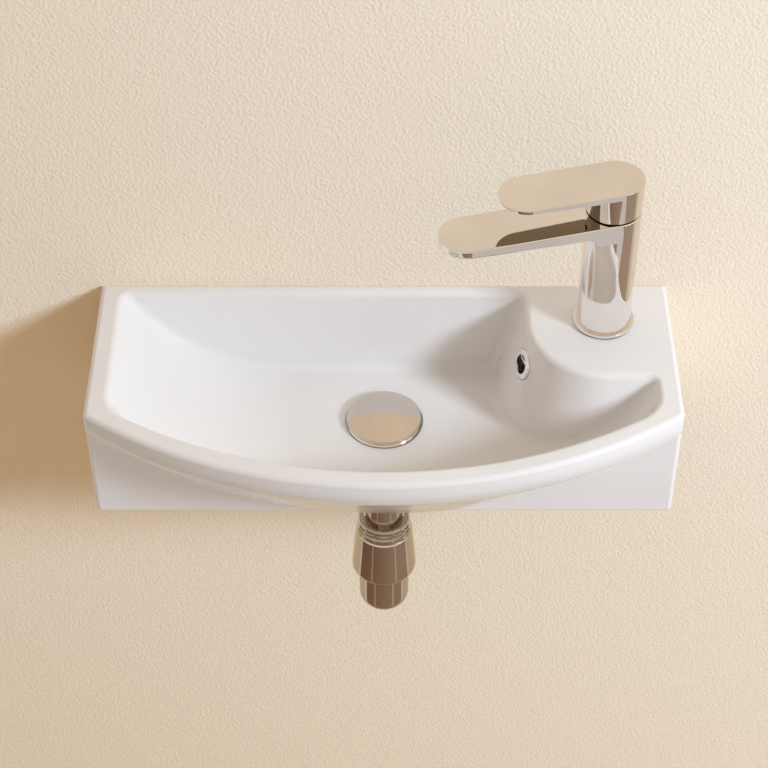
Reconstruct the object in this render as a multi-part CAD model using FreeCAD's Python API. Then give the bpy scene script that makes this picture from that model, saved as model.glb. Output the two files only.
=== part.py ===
"""Wall-hung washbasin with a side tap, a push-open waste and a bottle trap (millimetres).

The frame: +Z up, the front faces -Y, the wall is the plane Y = 0, and the origin lies midway
between the two wall fixing holes. The pieces are modelled from the rim plane down and are
moved to that origin when they are written.
"""
import FreeCAD, Part
import math
import os
from FreeCAD import Vector

# Basin, outside
BASIN_WIDTH = 470.0
SIDE_DEPTH = 153.0
BASIN_HEIGHT = 113.0
BOW_DEPTH = 77.0
BOW_AT_SIDE = 1.0
BOW_SPAN = 0.9
LIP_HEIGHT = 8.0
UNDER_ROUND = 36.0
UNDER_LEFT_PROUD = 2.0
CORNER_ROUND = 5.0
CORNER_TUCK = 0.8
APRON_ROUND = 4.0
RIM_ROUND = 4.0
FOOT_ROUND = 3.0
SKIRT_WALL = 11.0

# Bowl and tap ledge
RIM_FRONT = 18.0
RIM_BACK = 11.0
RIM_SIDE = 17.0
BOWL_DEPTH = 80.0
FLOOR_MARGIN = 12.5
BACK_DRAFT = 5.0
INNER_LIP = 8.0
INNER_ROUND = 40.0
BACK_CREASE = 8.0
FRONT_CREASE = 21.0
LEDGE_WIDTH = 118.0
LEDGE_FRONT = 110.0
LEDGE_CORNER = 62.0
LEDGE_DRAFT = 16.0
LEDGE_CREASE = 6.5
INNER_EDGE_ROUND = 6.0
BOWL_WALL = 12.0
DECK_WALL = 13.0

# Wall fixing holes
WALL_HOLE_INSET = 55.0
WALL_HOLE_D = 14.0
WALL_HOLE_DROP = 75.0

# Overflow
OVERFLOW_Y = -69.0
OVERFLOW_DROP = 26.5
OVERFLOW_SEAT = 1.5
OVERFLOW_BARREL_D = 20.0
OVERFLOW_RING_D = 25.5
OVERFLOW_MOUTH_D = 16.0
OVERFLOW_RING_THICK = 2.2
OVERFLOW_RING_ROUND = 1.3
OVERFLOW_BARREL_LENGTH = 9.0
OVERFLOW_BAR = 2.4
DUCT_DEPTH = 10.0
DUCT_WIDTH = 23.0
DUCT_RUN_D = 10.0
DUCT_SUMP = 1.5
DUCT_WALL = 5.5

# Waste
DRAIN_Y = -81.0
WASTE_THREAD_D = 41.9
WASTE_BORE = 36.0
FLANGE_D = 61.0
FLANGE_THICK = 2.5
FLANGE_RECESS = 3.0
TOP_GASKET = 1.0
TOP_GASKET_D = 60.0
BOSS_THICK = 17.0
BOSS_D = 78.0
WASTE_TAIL = 50.0
WASTE_SLOTS = 4
WASTE_SLOT_WIDTH = 9.0
BOTTOM_GASKET_D = 64.0
BOTTOM_GASKET = 6.0
SLIP_WASHER_D = 60.0
SLIP_WASHER = 1.5
LOCKNUT_D = 57.0
LOCKNUT_HEIGHT = 10.0
LOCKNUT_LUGS = 6
LOCKNUT_LUG_WIDTH = 8.0
LOCKNUT_LUG_PROUD = 2.5
LOCKNUT_LUG_HEIGHT = 8.0
SPIDER_DROP = 6.0
SPIDER_HEIGHT = 6.0
SPIDER_HUB_D = 19.0
SPIDER_BAR = 4.0
SPIDER_BARS = 3
SPIDER_TURN = 45.0
PLUG_CAP_D = 62.0
PLUG_EDGE = 3.0
PLUG_EDGE_ROUND = 1.2
PLUG_CROWN = 3.6
PLUG_SEAL = 1.2
PLUG_SEAL_D = 52.0
PLUG_SEAL_BORE = 44.0
PLUG_NECK_D = 14.0
PLUG_NECK_HEIGHT = 8.0
PLUG_STEM_D = 8.0
PLUG_STEM_LENGTH = 44.0
GUIDE_D = 14.0
GUIDE_LENGTH = 34.0
GUIDE_COLLAR_D = 18.0
GUIDE_COLLAR = 3.0
GUIDE_FLOOR = 2.0
SPRING_WIRE = 0.9
SPRING_TURNS = 6

# Bottle trap
TUBE_D = 32.0
TUBE_WALL = 1.5
COLLAR_D = 39.0
COLLAR_THICK = 2.5
COUPLING_WASHER = 2.0
COUPLING_NUT_D = 50.0
COUPLING_GRIP = 13.0
COUPLING_LIP = 3.0
COUPLING_ROUND = 2.0
COUPLING_FLUTES = 12
COUPLING_FLUTE_D = 4.0
COUPLING_FLUTE_DEPTH = 1.4
TUBE_SHOWN = 38.5
DIP_CLEAR = 11.5
TOP_NUT_D = 44.6
TOP_NUT_HEIGHT = 14.0
TOP_NUT_ROUND = 1.2
# Beads round the nut, from its top: share of its height and step out from its radius
TOP_NUT_BEADS = [(0.0, 0.0), (0.29, 0.0), (0.34, -0.8), (0.40, -0.8), (0.46, 0.5), (0.60, 0.5), (0.66, -0.6),
                 (0.74, -0.6), (0.80, 1.0), (1.0, 1.0)]
TOP_NUT_MOUTH_D = 38.4
TOP_NUT_RECESS = 4.0
TOP_NUT_SHELF = 3.0
TOP_NECK_D = 40.0
TOP_SEAL = 1.4
TOP_SEAL_D = 39.0
BELL_TOP_D = 49.0
BELL_LOW_D = 56.4
BELL_HEIGHT = 50.0
BELL_SKIRT = 4.5
BELL_ROUND = 4.0
BELL_WALL = 2.4
CUP_D = 44.0
CUP_HEIGHT = 45.5
CUP_ROUND = 13.0
CUP_WALL = 2.2
CUP_SPIGOT_D = 39.0
CUP_SPIGOT_HEIGHT = 9.0
CUP_SEAL = 1.8
OUTLET_DROP = 20.0
OUTLET_SOCKET_D = 38.0
OUTLET_SOCKET_REACH = 44.0
OUTLET_NUT_D = 45.0
OUTLET_NUT_LENGTH = 15.0
OUTLET_NUT_LIP = 3.0
OUTLET_NUT_ROUND = 1.5
OUTLET_SEAL = 3.0
OUTLET_STUB = 30.0
OUTLET_MARK_WIDTH = 2.0
OUTLET_MARK_DEPTH = 0.3
ROSETTE_D = 70.0
ROSETTE_DEPTH = 13.0
ROSETTE_WALL = 1.6
ROSETTE_NECK_DEPTH = 9.0
ROSETTE_KNEE_D = 52.0
ROSETTE_KNEE_DEPTH = 5.5

# Tap
TAP_INSET = 56.0
TAP_Y = -44.0
TAP_TURN = 15.0
TAP_HOLE_D = 35.0
COLUMN_D = 44.0
COLUMN_TOP = 117.0
BASE_GASKET_D = 48.0
BASE_GASKET = 1.0
BASE_RING_D = 50.0
BASE_RING_HEIGHT = 3.2
BASE_RING_ROUND = 1.3
SPOUT_REACH = 120.5
SPOUT_TIP_D = 43.0
SPOUT_ROOT_THICK = 11.3
SPOUT_TIP_THICK = 7.5
SPOUT_ROOT_ROUND = 6.0
SPOUT_TOP_ROUND = 1.2
SPOUT_UNDER_ROUND = 2.5
SPOUT_CHANNEL_WIDTH = 22.0
SPOUT_CHANNEL_HEIGHT = 3.4
SPOUT_SKIN = 2.0
RISER_D = 5.0
INLET_D = 10.0
INLET_DEPTH = 16.0
INLET_SPREAD = 8.0
INLET_FORWARD = 5.0
INLET_PASS_D = 12.0

# Lever and its cartridge
LEVER_GAP = 1.0
LEVER_UNDERCUT = 2.0
LEVER_TOP = 147.0
LEVER_REACH = 72.7
LEVER_ROOT_THICK = 5.0
LEVER_TIP_THICK = 2.7
LEVER_EDGE_ROUND = 0.6
HUB_WALL = 1.6
HUB_UPPER_WALL = 5.0
HUB_ROOF = 8.0
HUB_STEP = 10.0
HUB_BOSS_D = 15.0
HUB_BOSS_DROP = 15.0
STEM_WIDTH = 7.0
STEM_TAIL = 6.0
PIVOT_DROP = 20.0
LIFT_ANGLE = 18.0
GRUB_D = 5.0
GRUB_LENGTH = 7.0
GRUB_SOCKET = 2.5
CARTRIDGE_D = 28.0
CARTRIDGE_SEAT = 45.0
CARTRIDGE_SEAL = 1.0
CARTRIDGE_SEAL_D = 27.0
CARTRIDGE_BASE = 7.0
CARTRIDGE_WALL = 1.8
CARTRIDGE_PORT_D = 5.0
CARTRIDGE_PORT_SPREAD = 6.5
DISC_THICK = 4.0
MOVING_DISC_D = 20.0
CARRIER_NECK_D = 22.0
CARRIER_RISE = 2.0
NUT_THREAD_D = 34.0
NUT_HEIGHT = 5.0
NUT_NOTCH = 4.0
PIVOT_PIN_D = 3.0
PIVOT_PIN_LENGTH = 20.0

# Aerator
AERATOR_D = 24.0
AERATOR_INSET = 4.5
AERATOR_PROUD = 4.0
AERATOR_GRIP = 3.0
AERATOR_WALL = 2.0
AERATOR_LIP = 1.0
AERATOR_LIP_HEIGHT = 1.0
AERATOR_PLATE = 2.0
AERATOR_HOLE_D = 1.8
AERATOR_HOLE_PITCH = 2.8
AERATOR_SEAL = 1.0

# Tap fixing under the ledge
STUD_D = 8.0
STUD_BACK = 10.0
STUD_LENGTH = 56.0
STUD_GRIP = 12.0
CLAMP_D = 52.0
CLAMP_SLOT = 27.0
CLAMP_LAND = 2.3
CLAMP_GASKET = 2.0
CLAMP_PLATE = 2.5
FIXING_NUT_AF = 13.0
FIXING_NUT_HEIGHT = 6.5

# Clearances
RUN_FIT = 0.05
SLIP_FIT = 0.3
LOOSE_FIT = 2.0
SEAT_GAP = 0.1

# How far cuts run past a face, above the rim and to the ends
OVERCUT = 1.0
TOP_CUT = 15.0
FAR = 400.0

# Levels from the rim down
FLOOR_Z = -BOWL_DEPTH
DUCT_Z = FLOOR_Z - BOWL_WALL
RECESS_Z = FLOOR_Z - FLANGE_RECESS
FLANGE_Z = RECESS_Z + TOP_GASKET
BOSS_Z = RECESS_Z - BOSS_THICK
WASTE_END_Z = BOSS_Z - WASTE_TAIL
COLLAR_LOW_Z = WASTE_END_Z - COUPLING_WASHER - COLLAR_THICK
COUPLING_LOW_Z = COLLAR_LOW_Z - COUPLING_LIP
TRAP_TOP_Z = COUPLING_LOW_Z - TUBE_SHOWN
BELL_TOP_Z = TRAP_TOP_Z - TOP_NUT_HEIGHT
OUTLET_Z = BELL_TOP_Z - OUTLET_DROP
BELL_LOW_Z = BELL_TOP_Z - BELL_HEIGHT
CUP_TOP_Z = BELL_LOW_Z - CUP_SEAL
CUP_LOW_Z = CUP_TOP_Z - CUP_HEIGHT

TUBE_BORE = TUBE_D - 2 * TUBE_WALL
TUBE_HOLE = TUBE_D + 2 * SLIP_FIT
PIPE_START = OUTLET_SOCKET_REACH - OUTLET_NUT_LENGTH
HALF_WIDTH = BASIN_WIDTH / 2
BOWL_HALF = HALF_WIDTH - RIM_SIDE
LEDGE_LEFT = HALF_WIDTH - LEDGE_WIDTH
LEDGE_SPREAD = BOWL_DEPTH * math.tan(math.radians(LEDGE_DRAFT))
FLOOR_HALF = LEDGE_LEFT - LEDGE_SPREAD - LEDGE_CREASE - FLOOR_MARGIN
TAP_X = HALF_WIDTH - TAP_INSET
AERATOR_AT = SPOUT_REACH - AERATOR_INSET
BOW_SAG = BOW_DEPTH - BOW_AT_SIDE
BOW_R = (HALF_WIDTH**2 + BOW_SAG**2) / (2 * BOW_SAG)
BOW_CENTRE_Y = BOW_R - SIDE_DEPTH - BOW_DEPTH


def cylinder(d, z0, z1, x=0.0, y=0.0):
    """An upright rod between two heights."""
    return Part.makeCylinder(d / 2, z1 - z0, Vector(x, y, z0))


def ring(outer_d, inner_d, z0, z1):
    """A flat ring between two heights."""
    return cylinder(outer_d, z0, z1).cut(cylinder(inner_d, z0 - OVERCUT, z1 + OVERCUT))


def box(x0, x1, y0, y1, z0, z1):
    """A box from its limits."""
    return Part.makeBox(x1 - x0, y1 - y0, z1 - z0, Vector(x0, y0, z0))


def turned(points):
    """A solid turned about Z from (radius, height) points."""
    corners = [Vector(r, 0, z) for r, z in points]
    face = Part.Face(Part.makePolygon(corners + corners[:1]))
    return face.revolve(Vector(), Vector(0, 0, 1), 360)


def extruded(edges, direction):
    """A solid from a closed chain of edges."""
    return Part.Face(Part.Wire(edges)).extrude(direction)


def flat_edges(shape, z):
    """The edges that lie in one horizontal plane."""
    def lies_flat(edge):
        return abs(edge.BoundBox.ZMin - z) < 1e-3 and abs(edge.BoundBox.ZMax - z) < 1e-3
    return [edge for edge in shape.Edges if lies_flat(edge)]


def hexagon(across_flats, z0, z1, x=0.0, y=0.0):
    """A hexagonal prism."""
    r = across_flats / math.sqrt(3)
    turn = math.pi / 3
    corners = [Vector(x + r * math.cos(i * turn), y + r * math.sin(i * turn), z0) for i in range(7)]
    return Part.Face(Part.makePolygon(corners)).extrude(Vector(0, 0, z1 - z0))


def spaced(shape, count, start=0.0):
    """Copies of a shape turned evenly about Z."""
    copies = []
    for i in range(count):
        copy = shape.copy()
        copy.rotate(Vector(), Vector(0, 0, 1), start + 360.0 * i / count)
        copies.append(copy)
    return copies


def under_slope(run, drop, rounding):
    """Angle from upright of the line that leaves a rounding and ends run behind and drop below."""
    return math.asin(rounding / math.hypot(run - rounding, drop)) + math.atan2(run - rounding, drop)


def bowed_block(radius, lip, rounding, slope, drop, top):
    """Everything behind a bowed front that stands upright for its lip and then leans back."""
    knee = lip + rounding * math.tan(slope / 2)
    half = BOW_SPAN * radius
    end_y = BOW_CENTRE_Y - math.sqrt(radius**2 - half**2)
    left = Vector(-half, end_y, -knee)
    right = Vector(half, end_y, -knee)
    middle = Vector(0, BOW_CENTRE_Y - radius, -knee)
    back_right = Vector(half, FAR, -knee)
    back_left = Vector(-half, FAR, -knee)
    outline = Part.Wire([
        Part.Arc(left, middle, right).toShape(),
        Part.makeLine(right, back_right),
        Part.makeLine(back_right, back_left),
        Part.makeLine(back_left, left),
    ])
    fall = lip + drop - knee + TOP_CUT
    upper = Part.Face(outline).extrude(Vector(0, 0, knee + top))
    lower = Part.Face(outline).extrude(Vector(0, fall * math.tan(slope), -fall))
    block = upper.fuse(lower).removeSplitter()
    knee_edge = [e for e in flat_edges(block, -knee) if e.BoundBox.YMax < end_y + OVERCUT]
    return block.makeFillet(rounding, knee_edge)


def rim_outline(z, turn_share, bowed):
    """Plan outline of the rim: bowed along its front, or left open to a point in front of it."""
    corner_x = HALF_WIDTH - CORNER_ROUND
    corner_y = BOW_CENTRE_Y - math.sqrt((BOW_R - CORNER_ROUND)**2 - corner_x**2)
    turn = turn_share * math.atan2(corner_y - BOW_CENTRE_Y, corner_x)

    def corner_point(angle, side):
        x = corner_x + CORNER_ROUND * math.cos(angle)
        return Vector(side * x, corner_y + CORNER_ROUND * math.sin(angle), z)

    def corner(side):
        arc = Part.Arc(corner_point(0, side), corner_point(turn / 2, side), corner_point(turn, side))
        return arc.toShape()

    right = corner_point(turn, 1)
    left = corner_point(turn, -1)
    if bowed:
        front = [Part.Arc(right, Vector(0, BOW_CENTRE_Y - BOW_R, z), left).toShape()]
    else:
        point = Vector(0, right.y + right.x / math.tan(turn), z)
        front = [Part.makeLine(right, point), Part.makeLine(point, left)]
    back_right = Vector(HALF_WIDTH, 0, z)
    back_left = Vector(-HALF_WIDTH, 0, z)
    return [
        Part.makeLine(back_left, back_right),
        Part.makeLine(back_right, corner_point(0, 1)),
        corner(1),
        *front,
        corner(-1),
        Part.makeLine(corner_point(0, -1), back_left),
    ]


def basin_outside():
    """The outer block: a rim lip, an apron box and the bowed front that leans back below the lip."""
    under = BASIN_HEIGHT - LIP_HEIGHT
    slope = under_slope(BOW_DEPTH - UNDER_LEFT_PROUD, under, UNDER_ROUND)
    lip = extruded(rim_outline(0.0, 1.0, True), Vector(0, 0, -LIP_HEIGHT))
    keep = extruded(rim_outline(-LIP_HEIGHT, CORNER_TUCK, False), Vector(0, 0, -under))
    bulge = bowed_block(BOW_R, LIP_HEIGHT, UNDER_ROUND, slope, under, 0.0).common(keep)
    apron = box(-HALF_WIDTH, HALF_WIDTH, -SIDE_DEPTH, 0, -BASIN_HEIGHT, -LIP_HEIGHT / 2)
    upright = [e for e in apron.Edges if e.BoundBox.ZLength > under and e.BoundBox.YMax < -1]
    apron = apron.makeFillet(APRON_ROUND, upright)
    block = lip.fuse([bulge, apron]).removeSplitter().Solids[0]
    block = block.makeFillet(RIM_ROUND, flat_edges(block, 0.0))
    foot = [e for e in flat_edges(block, -BASIN_HEIGHT) if e.BoundBox.YMin < -1]
    return block.makeFillet(FOOT_ROUND, foot)


def trough(grow, top):
    """The bowl's lengthwise form: a flat floor that rises in an arc to both ends, run front to back."""
    flat = FLOOR_HALF
    rise = BOWL_HALF - flat
    base_r = (rise**2 + BOWL_DEPTH**2) / (2 * BOWL_DEPTH)
    centre_z = FLOOR_Z + base_r
    radius = base_r + grow
    swing = math.acos(centre_z / radius)
    lean = top / math.tan(swing)

    def at(x, z):
        return Vector(x, -FAR, z)

    def half_side(side):
        low = at(side * flat, FLOOR_Z - grow)
        half_x = flat + radius * math.sin(swing / 2)
        middle = at(side * half_x, centre_z - radius * math.cos(swing / 2))
        end_x = flat + radius * math.sin(swing)
        end = at(side * end_x, 0)
        above = at(side * (end_x + lean), top)
        return low, middle, end, above

    low_r, mid_r, end_r, top_r = half_side(1)
    low_l, mid_l, end_l, top_l = half_side(-1)
    return extruded([
        Part.makeLine(low_l, low_r),
        Part.Arc(low_r, mid_r, end_r).toShape(),
        Part.makeLine(end_r, top_r),
        Part.makeLine(top_r, top_l),
        Part.makeLine(top_l, end_l),
        Part.Arc(end_l, mid_l, low_l).toShape(),
    ], Vector(0, 2 * FAR, 0))


def ledge_lines(z, inset):
    """Left line, front line and corner radius of the tap ledge at one height."""
    out = -z * math.tan(math.radians(LEDGE_DRAFT)) - inset
    return LEDGE_LEFT - out, -(LEDGE_FRONT + out), LEDGE_CORNER + out


def ledge_block(inset, top, bottom):
    """The tap ledge in the back right corner, with sloping walls."""
    def outline(z):
        left, front, r = ledge_lines(z, inset)
        c = r * math.sqrt(0.5)
        a = Vector(left, FAR, z)
        b = Vector(left, front + r, z)
        m = Vector(left + r - c, front + r - c, z)
        d = Vector(left + r, front, z)
        e = Vector(FAR, front, z)
        f = Vector(FAR, FAR, z)
        return Part.Wire([
            Part.makeLine(a, b),
            Part.Arc(b, m, d).toShape(),
            Part.makeLine(d, e),
            Part.makeLine(e, f),
            Part.makeLine(f, a),
        ])
    return Part.makeLoft([outline(top), outline(bottom)], True, True)


def on_ledge(edge):
    """Whether an edge follows the ledge's wall below the top cut."""
    for p in edge.discretize(5)[1:-1]:
        left, front, r = ledge_lines(p.z, 0.0)
        if p.y > front + r:
            off = abs(p.x - left)
        elif p.x > left + r:
            off = abs(p.y - front)
        else:
            off = abs(math.hypot(p.x - left - r, p.y - front - r) - r)
        if off > 0.02:
            return False
    seam = edge.Curve.TypeId == "Part::GeomBezierCurve"
    return not seam and edge.BoundBox.ZMin < TOP_CUT - 1


def bowl_space():
    """The hollow of the bowl, with its creases rounded, up to above the rim."""
    under = BASIN_HEIGHT - LIP_HEIGHT
    slope = under_slope(BOW_DEPTH - UNDER_LEFT_PROUD, under, UNDER_ROUND)
    front = bowed_block(BOW_R - RIM_FRONT, INNER_LIP, INNER_ROUND, slope, BOWL_DEPTH - INNER_LIP, TOP_CUT)
    lean = math.tan(math.radians(BACK_DRAFT))
    deep = BOWL_DEPTH + TOP_CUT
    back_top = Vector(-FAR, TOP_CUT * lean - RIM_BACK, TOP_CUT)
    back_low = Vector(-FAR, -deep * lean - RIM_BACK, -deep)
    front_low = Vector(-FAR, -FAR, -deep)
    front_top = Vector(-FAR, -FAR, TOP_CUT)
    side = Part.makePolygon([back_top, back_low, front_low, front_top, back_top])
    hollow = trough(0.0, TOP_CUT).common(front).common(Part.Face(side).extrude(Vector(2 * FAR, 0, 0)))
    hollow = hollow.Solids[0]
    back_limit = -deep * lean - RIM_BACK - 1

    def below_top(edge):
        return edge.BoundBox.ZMin < TOP_CUT - 1

    def front_crease(edge):
        b = edge.BoundBox
        if not below_top(edge) or b.YMax > back_limit - BACK_CREASE:
            return False
        one_side = abs(b.XMin + b.XMax) > FLOOR_HALF / 2
        rises = one_side and b.XLength > 1 and b.ZLength > 1
        level = not one_side and abs(b.ZMax - FLOOR_Z) < 1e-3
        return rises or level

    back = [e for e in hollow.Edges if below_top(e) and e.BoundBox.YMin > back_limit]
    hollow = hollow.makeFillet(BACK_CREASE, back)
    hollow = hollow.makeFillet(FRONT_CREASE, [e for e in hollow.Edges if front_crease(e)])
    hollow = hollow.cut(ledge_block(0.0, TOP_CUT + OVERCUT, FLOOR_Z - TOP_CUT)).Solids[0]
    return hollow.makeFillet(LEDGE_CREASE, [e for e in hollow.Edges if on_ledge(e)])


def overflow_spot():
    """Where the overflow's axis leaves the ledge wall, and how far the wall turns to the front there."""
    left, front, r = ledge_lines(-OVERFLOW_DROP, 0.0)
    turn = math.asin(max(front + r - OVERFLOW_Y, 0.0) / r)
    return Vector(left + r * (1 - math.cos(turn)), OVERFLOW_Y, -OVERFLOW_DROP), math.degrees(turn)


def overflow_turn(shape):
    """Moves an upright shape made behind the Y axis to behind the overflow mouth."""
    spot, turn = overflow_spot()
    shape.rotate(Vector(), Vector(0, 0, 1), turn)
    shape.translate(Vector(spot.x, spot.y, 0))
    return shape


def overflow_place(shape):
    """Moves a shape made along +Z, facing +Z, to the seat of the overflow mouth in the ledge wall."""
    spot, turn = overflow_spot()
    shape.translate(Vector(0, 0, -OVERFLOW_SEAT))
    shape.rotate(Vector(), Vector(0, 1, 0), LEDGE_DRAFT - 90)
    shape.rotate(Vector(), Vector(0, 0, 1), turn)
    shape.translate(spot)
    return shape


def overflow_duct():
    """The duct from the overflow mouth to the waste hole: its walls and its passage."""
    x0 = BOWL_WALL
    x1 = x0 + DUCT_DEPTH
    half = DUCT_WIDTH / 2
    low = DUCT_Z - DUCT_RUN_D / 2 - DUCT_SUMP
    top = -OVERFLOW_DROP + half
    wall_x = BOWL_WALL / 2 + (low + OVERFLOW_DROP) * math.tan(math.radians(LEDGE_DRAFT))
    shaft = overflow_turn(box(x0, x1, -half, half, low, top))
    half_wall = half + DUCT_WALL
    shaft_wall = box(wall_x, x1 + DUCT_WALL, -half_wall, half_wall, low - DUCT_WALL, top + DUCT_WALL)
    shaft_wall = overflow_turn(shaft_wall)
    start = Vector(shaft.CenterOfMass.x, shaft.CenterOfMass.y, DUCT_Z)
    way = Vector(0, DRAIN_Y, DUCT_Z) - start
    run = Part.makeCylinder(DUCT_RUN_D / 2, way.Length, start, way)
    half_run = DUCT_RUN_D / 2 + DUCT_WALL
    run_length = way.Length - BOSS_D / 2 + OVERCUT
    run_wall = box(0, run_length, -half_run, half_run, DUCT_Z - half_run, DUCT_Z + half_run)
    run_wall.rotate(Vector(), Vector(0, 0, 1), math.degrees(math.atan2(way.y, way.x)))
    run_wall.translate(Vector(start.x, start.y, 0))
    mouth_d = OVERFLOW_BARREL_D + 2 * SLIP_FIT
    mouth = overflow_place(cylinder(mouth_d, -BOWL_WALL - DUCT_DEPTH / 2, TOP_CUT))
    seat = overflow_place(cylinder(OVERFLOW_RING_D + 2 * SLIP_FIT, 0, TOP_CUT))
    return shaft_wall.fuse(run_wall), [shaft, run, mouth, seat]


def basin_body():
    """The ceramic basin: a hollow shell with the bowl, the tap ledge and the holes."""
    outside = basin_outside()
    hollow = bowl_space()
    inner = box(SKIRT_WALL - HALF_WIDTH, HALF_WIDTH - SKIRT_WALL, SKIRT_WALL - SIDE_DEPTH, -SKIRT_WALL,
                -BASIN_HEIGHT - OVERCUT, -DECK_WALL)
    solid_part = trough(BOWL_WALL, TOP_CUT)
    solid_part = solid_part.cut(ledge_block(BOWL_WALL, TOP_CUT, -BASIN_HEIGHT - TOP_CUT))
    underside = inner.cut(solid_part)
    boss = cylinder(BOSS_D, BOSS_Z, FLOOR_Z - OVERCUT, 0, DRAIN_Y)
    duct_wall, passages = overflow_duct()
    within = inner.common(duct_wall)
    body = outside.cut(underside).fuse([boss, within])
    body = body.cut(hollow).removeSplitter().Solids[0]
    body = body.makeFillet(INNER_EDGE_ROUND, [e for e in flat_edges(body, 0.0) if inside_rim(e)])
    cuts = list(passages)
    cuts.append(cylinder(FLANGE_D + 2 * LOOSE_FIT, RECESS_Z, FLOOR_Z + OVERCUT, 0, DRAIN_Y))
    cuts.append(cylinder(WASTE_THREAD_D + 2 * LOOSE_FIT, -FAR, RECESS_Z + OVERCUT, 0, DRAIN_Y))
    cuts.append(cylinder(TAP_HOLE_D, -DECK_WALL - OVERCUT, OVERCUT, TAP_X, TAP_Y))
    for side in (-1, 1):
        start = Vector(side * (HALF_WIDTH - WALL_HOLE_INSET), OVERCUT, -WALL_HOLE_DROP)
        through = SKIRT_WALL + 2 * OVERCUT
        cuts.append(Part.makeCylinder(WALL_HOLE_D / 2, through, start, Vector(0, -1, 0)))
    return body.cut(cuts).Solids[0]


def inside_rim(edge):
    """Whether an edge of the rim plane borders the bowl rather than the outside."""
    p = edge.valueAt((edge.FirstParameter + edge.LastParameter) / 2)
    clear_of_sides = abs(p.x) < HALF_WIDTH - RIM_ROUND - 1 and p.y < -RIM_ROUND - 1
    to_bow = BOW_R - math.hypot(p.x, p.y - BOW_CENTRE_Y)
    return clear_of_sides and to_bow > RIM_ROUND + 1


def overflow_ring():
    """The trim ring in the overflow mouth, with one bar across it."""
    lip = cylinder(OVERFLOW_RING_D, 0, OVERFLOW_RING_THICK)
    lip = lip.makeFillet(OVERFLOW_RING_ROUND, flat_edges(lip, OVERFLOW_RING_THICK))
    barrel = cylinder(OVERFLOW_BARREL_D, -OVERFLOW_BARREL_LENGTH, 0)
    piece = lip.fuse(barrel).cut(cylinder(OVERFLOW_MOUTH_D, -FAR, FAR))
    reach = (OVERFLOW_MOUTH_D + OVERFLOW_BARREL_D) / 4
    half_bar = OVERFLOW_BAR / 2
    bar_low = -OVERFLOW_BARREL_LENGTH / 2
    bar = box(-half_bar, half_bar, -reach, reach, bar_low, bar_low + OVERFLOW_BAR)
    piece = piece.fuse(bar).removeSplitter()
    piece.translate(Vector(0, 0, SEAT_GAP))
    return {"overflow_ring": overflow_place(piece)}


def spring_path(radius, z0, z1, turns):
    """A helix of quarter turns, each an arc through three of its points."""
    steps = 4 * turns
    rise = (z1 - z0) / steps

    def at(i):
        angle = i * math.pi / 2
        return Vector(radius * math.cos(angle), radius * math.sin(angle), z0 + i * rise)

    arcs = [Part.Arc(at(i), at(i + 0.5), at(i + 1)).toShape() for i in range(steps)]
    return Part.Wire(arcs)


def waste_pieces():
    """The waste's threaded body with the guide in its spider, its gaskets and its nut."""
    flange_top = FLANGE_Z + FLANGE_THICK
    thread_r = WASTE_THREAD_D / 2
    bore_r = WASTE_BORE / 2
    chamfer = FLANGE_THICK / 2
    body = turned([
        (thread_r, WASTE_END_Z), (thread_r, FLANGE_Z), (FLANGE_D / 2, FLANGE_Z),
        (FLANGE_D / 2, flange_top - chamfer), (FLANGE_D / 2 - chamfer, flange_top),
        (bore_r + FLANGE_THICK, flange_top), (bore_r, FLANGE_Z), (bore_r, WASTE_END_Z),
    ])
    half_slot = WASTE_SLOT_WIDTH / 2
    slot = box(bore_r - OVERCUT, thread_r + OVERCUT, -half_slot, half_slot, DUCT_Z - half_slot,
               DUCT_Z + half_slot)
    body = body.cut(spaced(slot, WASTE_SLOTS))
    spider_top = BOSS_Z - SPIDER_DROP
    spider_low = spider_top - SPIDER_HEIGHT
    half_bar = SPIDER_BAR / 2
    bar = box(0, bore_r + OVERCUT, -half_bar, half_bar, spider_low, spider_top)
    hub = cylinder(SPIDER_HUB_D, spider_low, spider_top)
    body = body.fuse([hub, *spaced(bar, SPIDER_BARS, SPIDER_TURN)])
    body = body.cut(cylinder(GUIDE_D, -FAR, FAR)).removeSplitter()

    guide_top = spider_top + GUIDE_COLLAR
    guide_low = guide_top - GUIDE_LENGTH
    guide_floor = guide_low + GUIDE_FLOOR
    guide = cylinder(GUIDE_D, guide_low, spider_top).fuse(cylinder(GUIDE_COLLAR_D, spider_top, guide_top))
    guide = guide.cut(cylinder(PLUG_STEM_D + 2 * RUN_FIT, guide_floor, FAR)).removeSplitter()

    gasket_low = BOSS_Z - BOTTOM_GASKET
    slip_low = gasket_low - SLIP_WASHER
    nut_low = slip_low - LOCKNUT_HEIGHT
    half_lug = LOCKNUT_LUG_WIDTH / 2
    nut_r = LOCKNUT_D / 2
    lug = box(thread_r + OVERCUT, nut_r + LOCKNUT_LUG_PROUD, -half_lug, half_lug, nut_low,
              nut_low + LOCKNUT_LUG_HEIGHT)
    nut = cylinder(LOCKNUT_D, nut_low, slip_low).fuse(spaced(lug, LOCKNUT_LUGS))
    thread_hole = WASTE_THREAD_D + 2 * RUN_FIT
    hole_r = thread_hole / 2
    gasket_r = BOTTOM_GASKET_D / 2
    gasket = turned([
        (hole_r, gasket_low), (gasket_r, gasket_low), (gasket_r, gasket_low + BOTTOM_GASKET / 2),
        (gasket_r - BOTTOM_GASKET / 2, BOSS_Z), (hole_r, BOSS_Z),
    ])
    pieces = {
        "waste_body": body,
        "waste_plug_guide": guide,
        "waste_top_gasket": ring(TOP_GASKET_D, thread_hole, RECESS_Z, FLANGE_Z),
        "waste_bottom_gasket": gasket,
        "waste_slip_washer": ring(SLIP_WASHER_D, thread_hole, slip_low, gasket_low),
        "waste_locknut": nut.cut(cylinder(thread_hole, -FAR, FAR)).removeSplitter(),
    }
    pieces.update(plug_pieces(flange_top, guide_floor))
    return pieces


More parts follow.
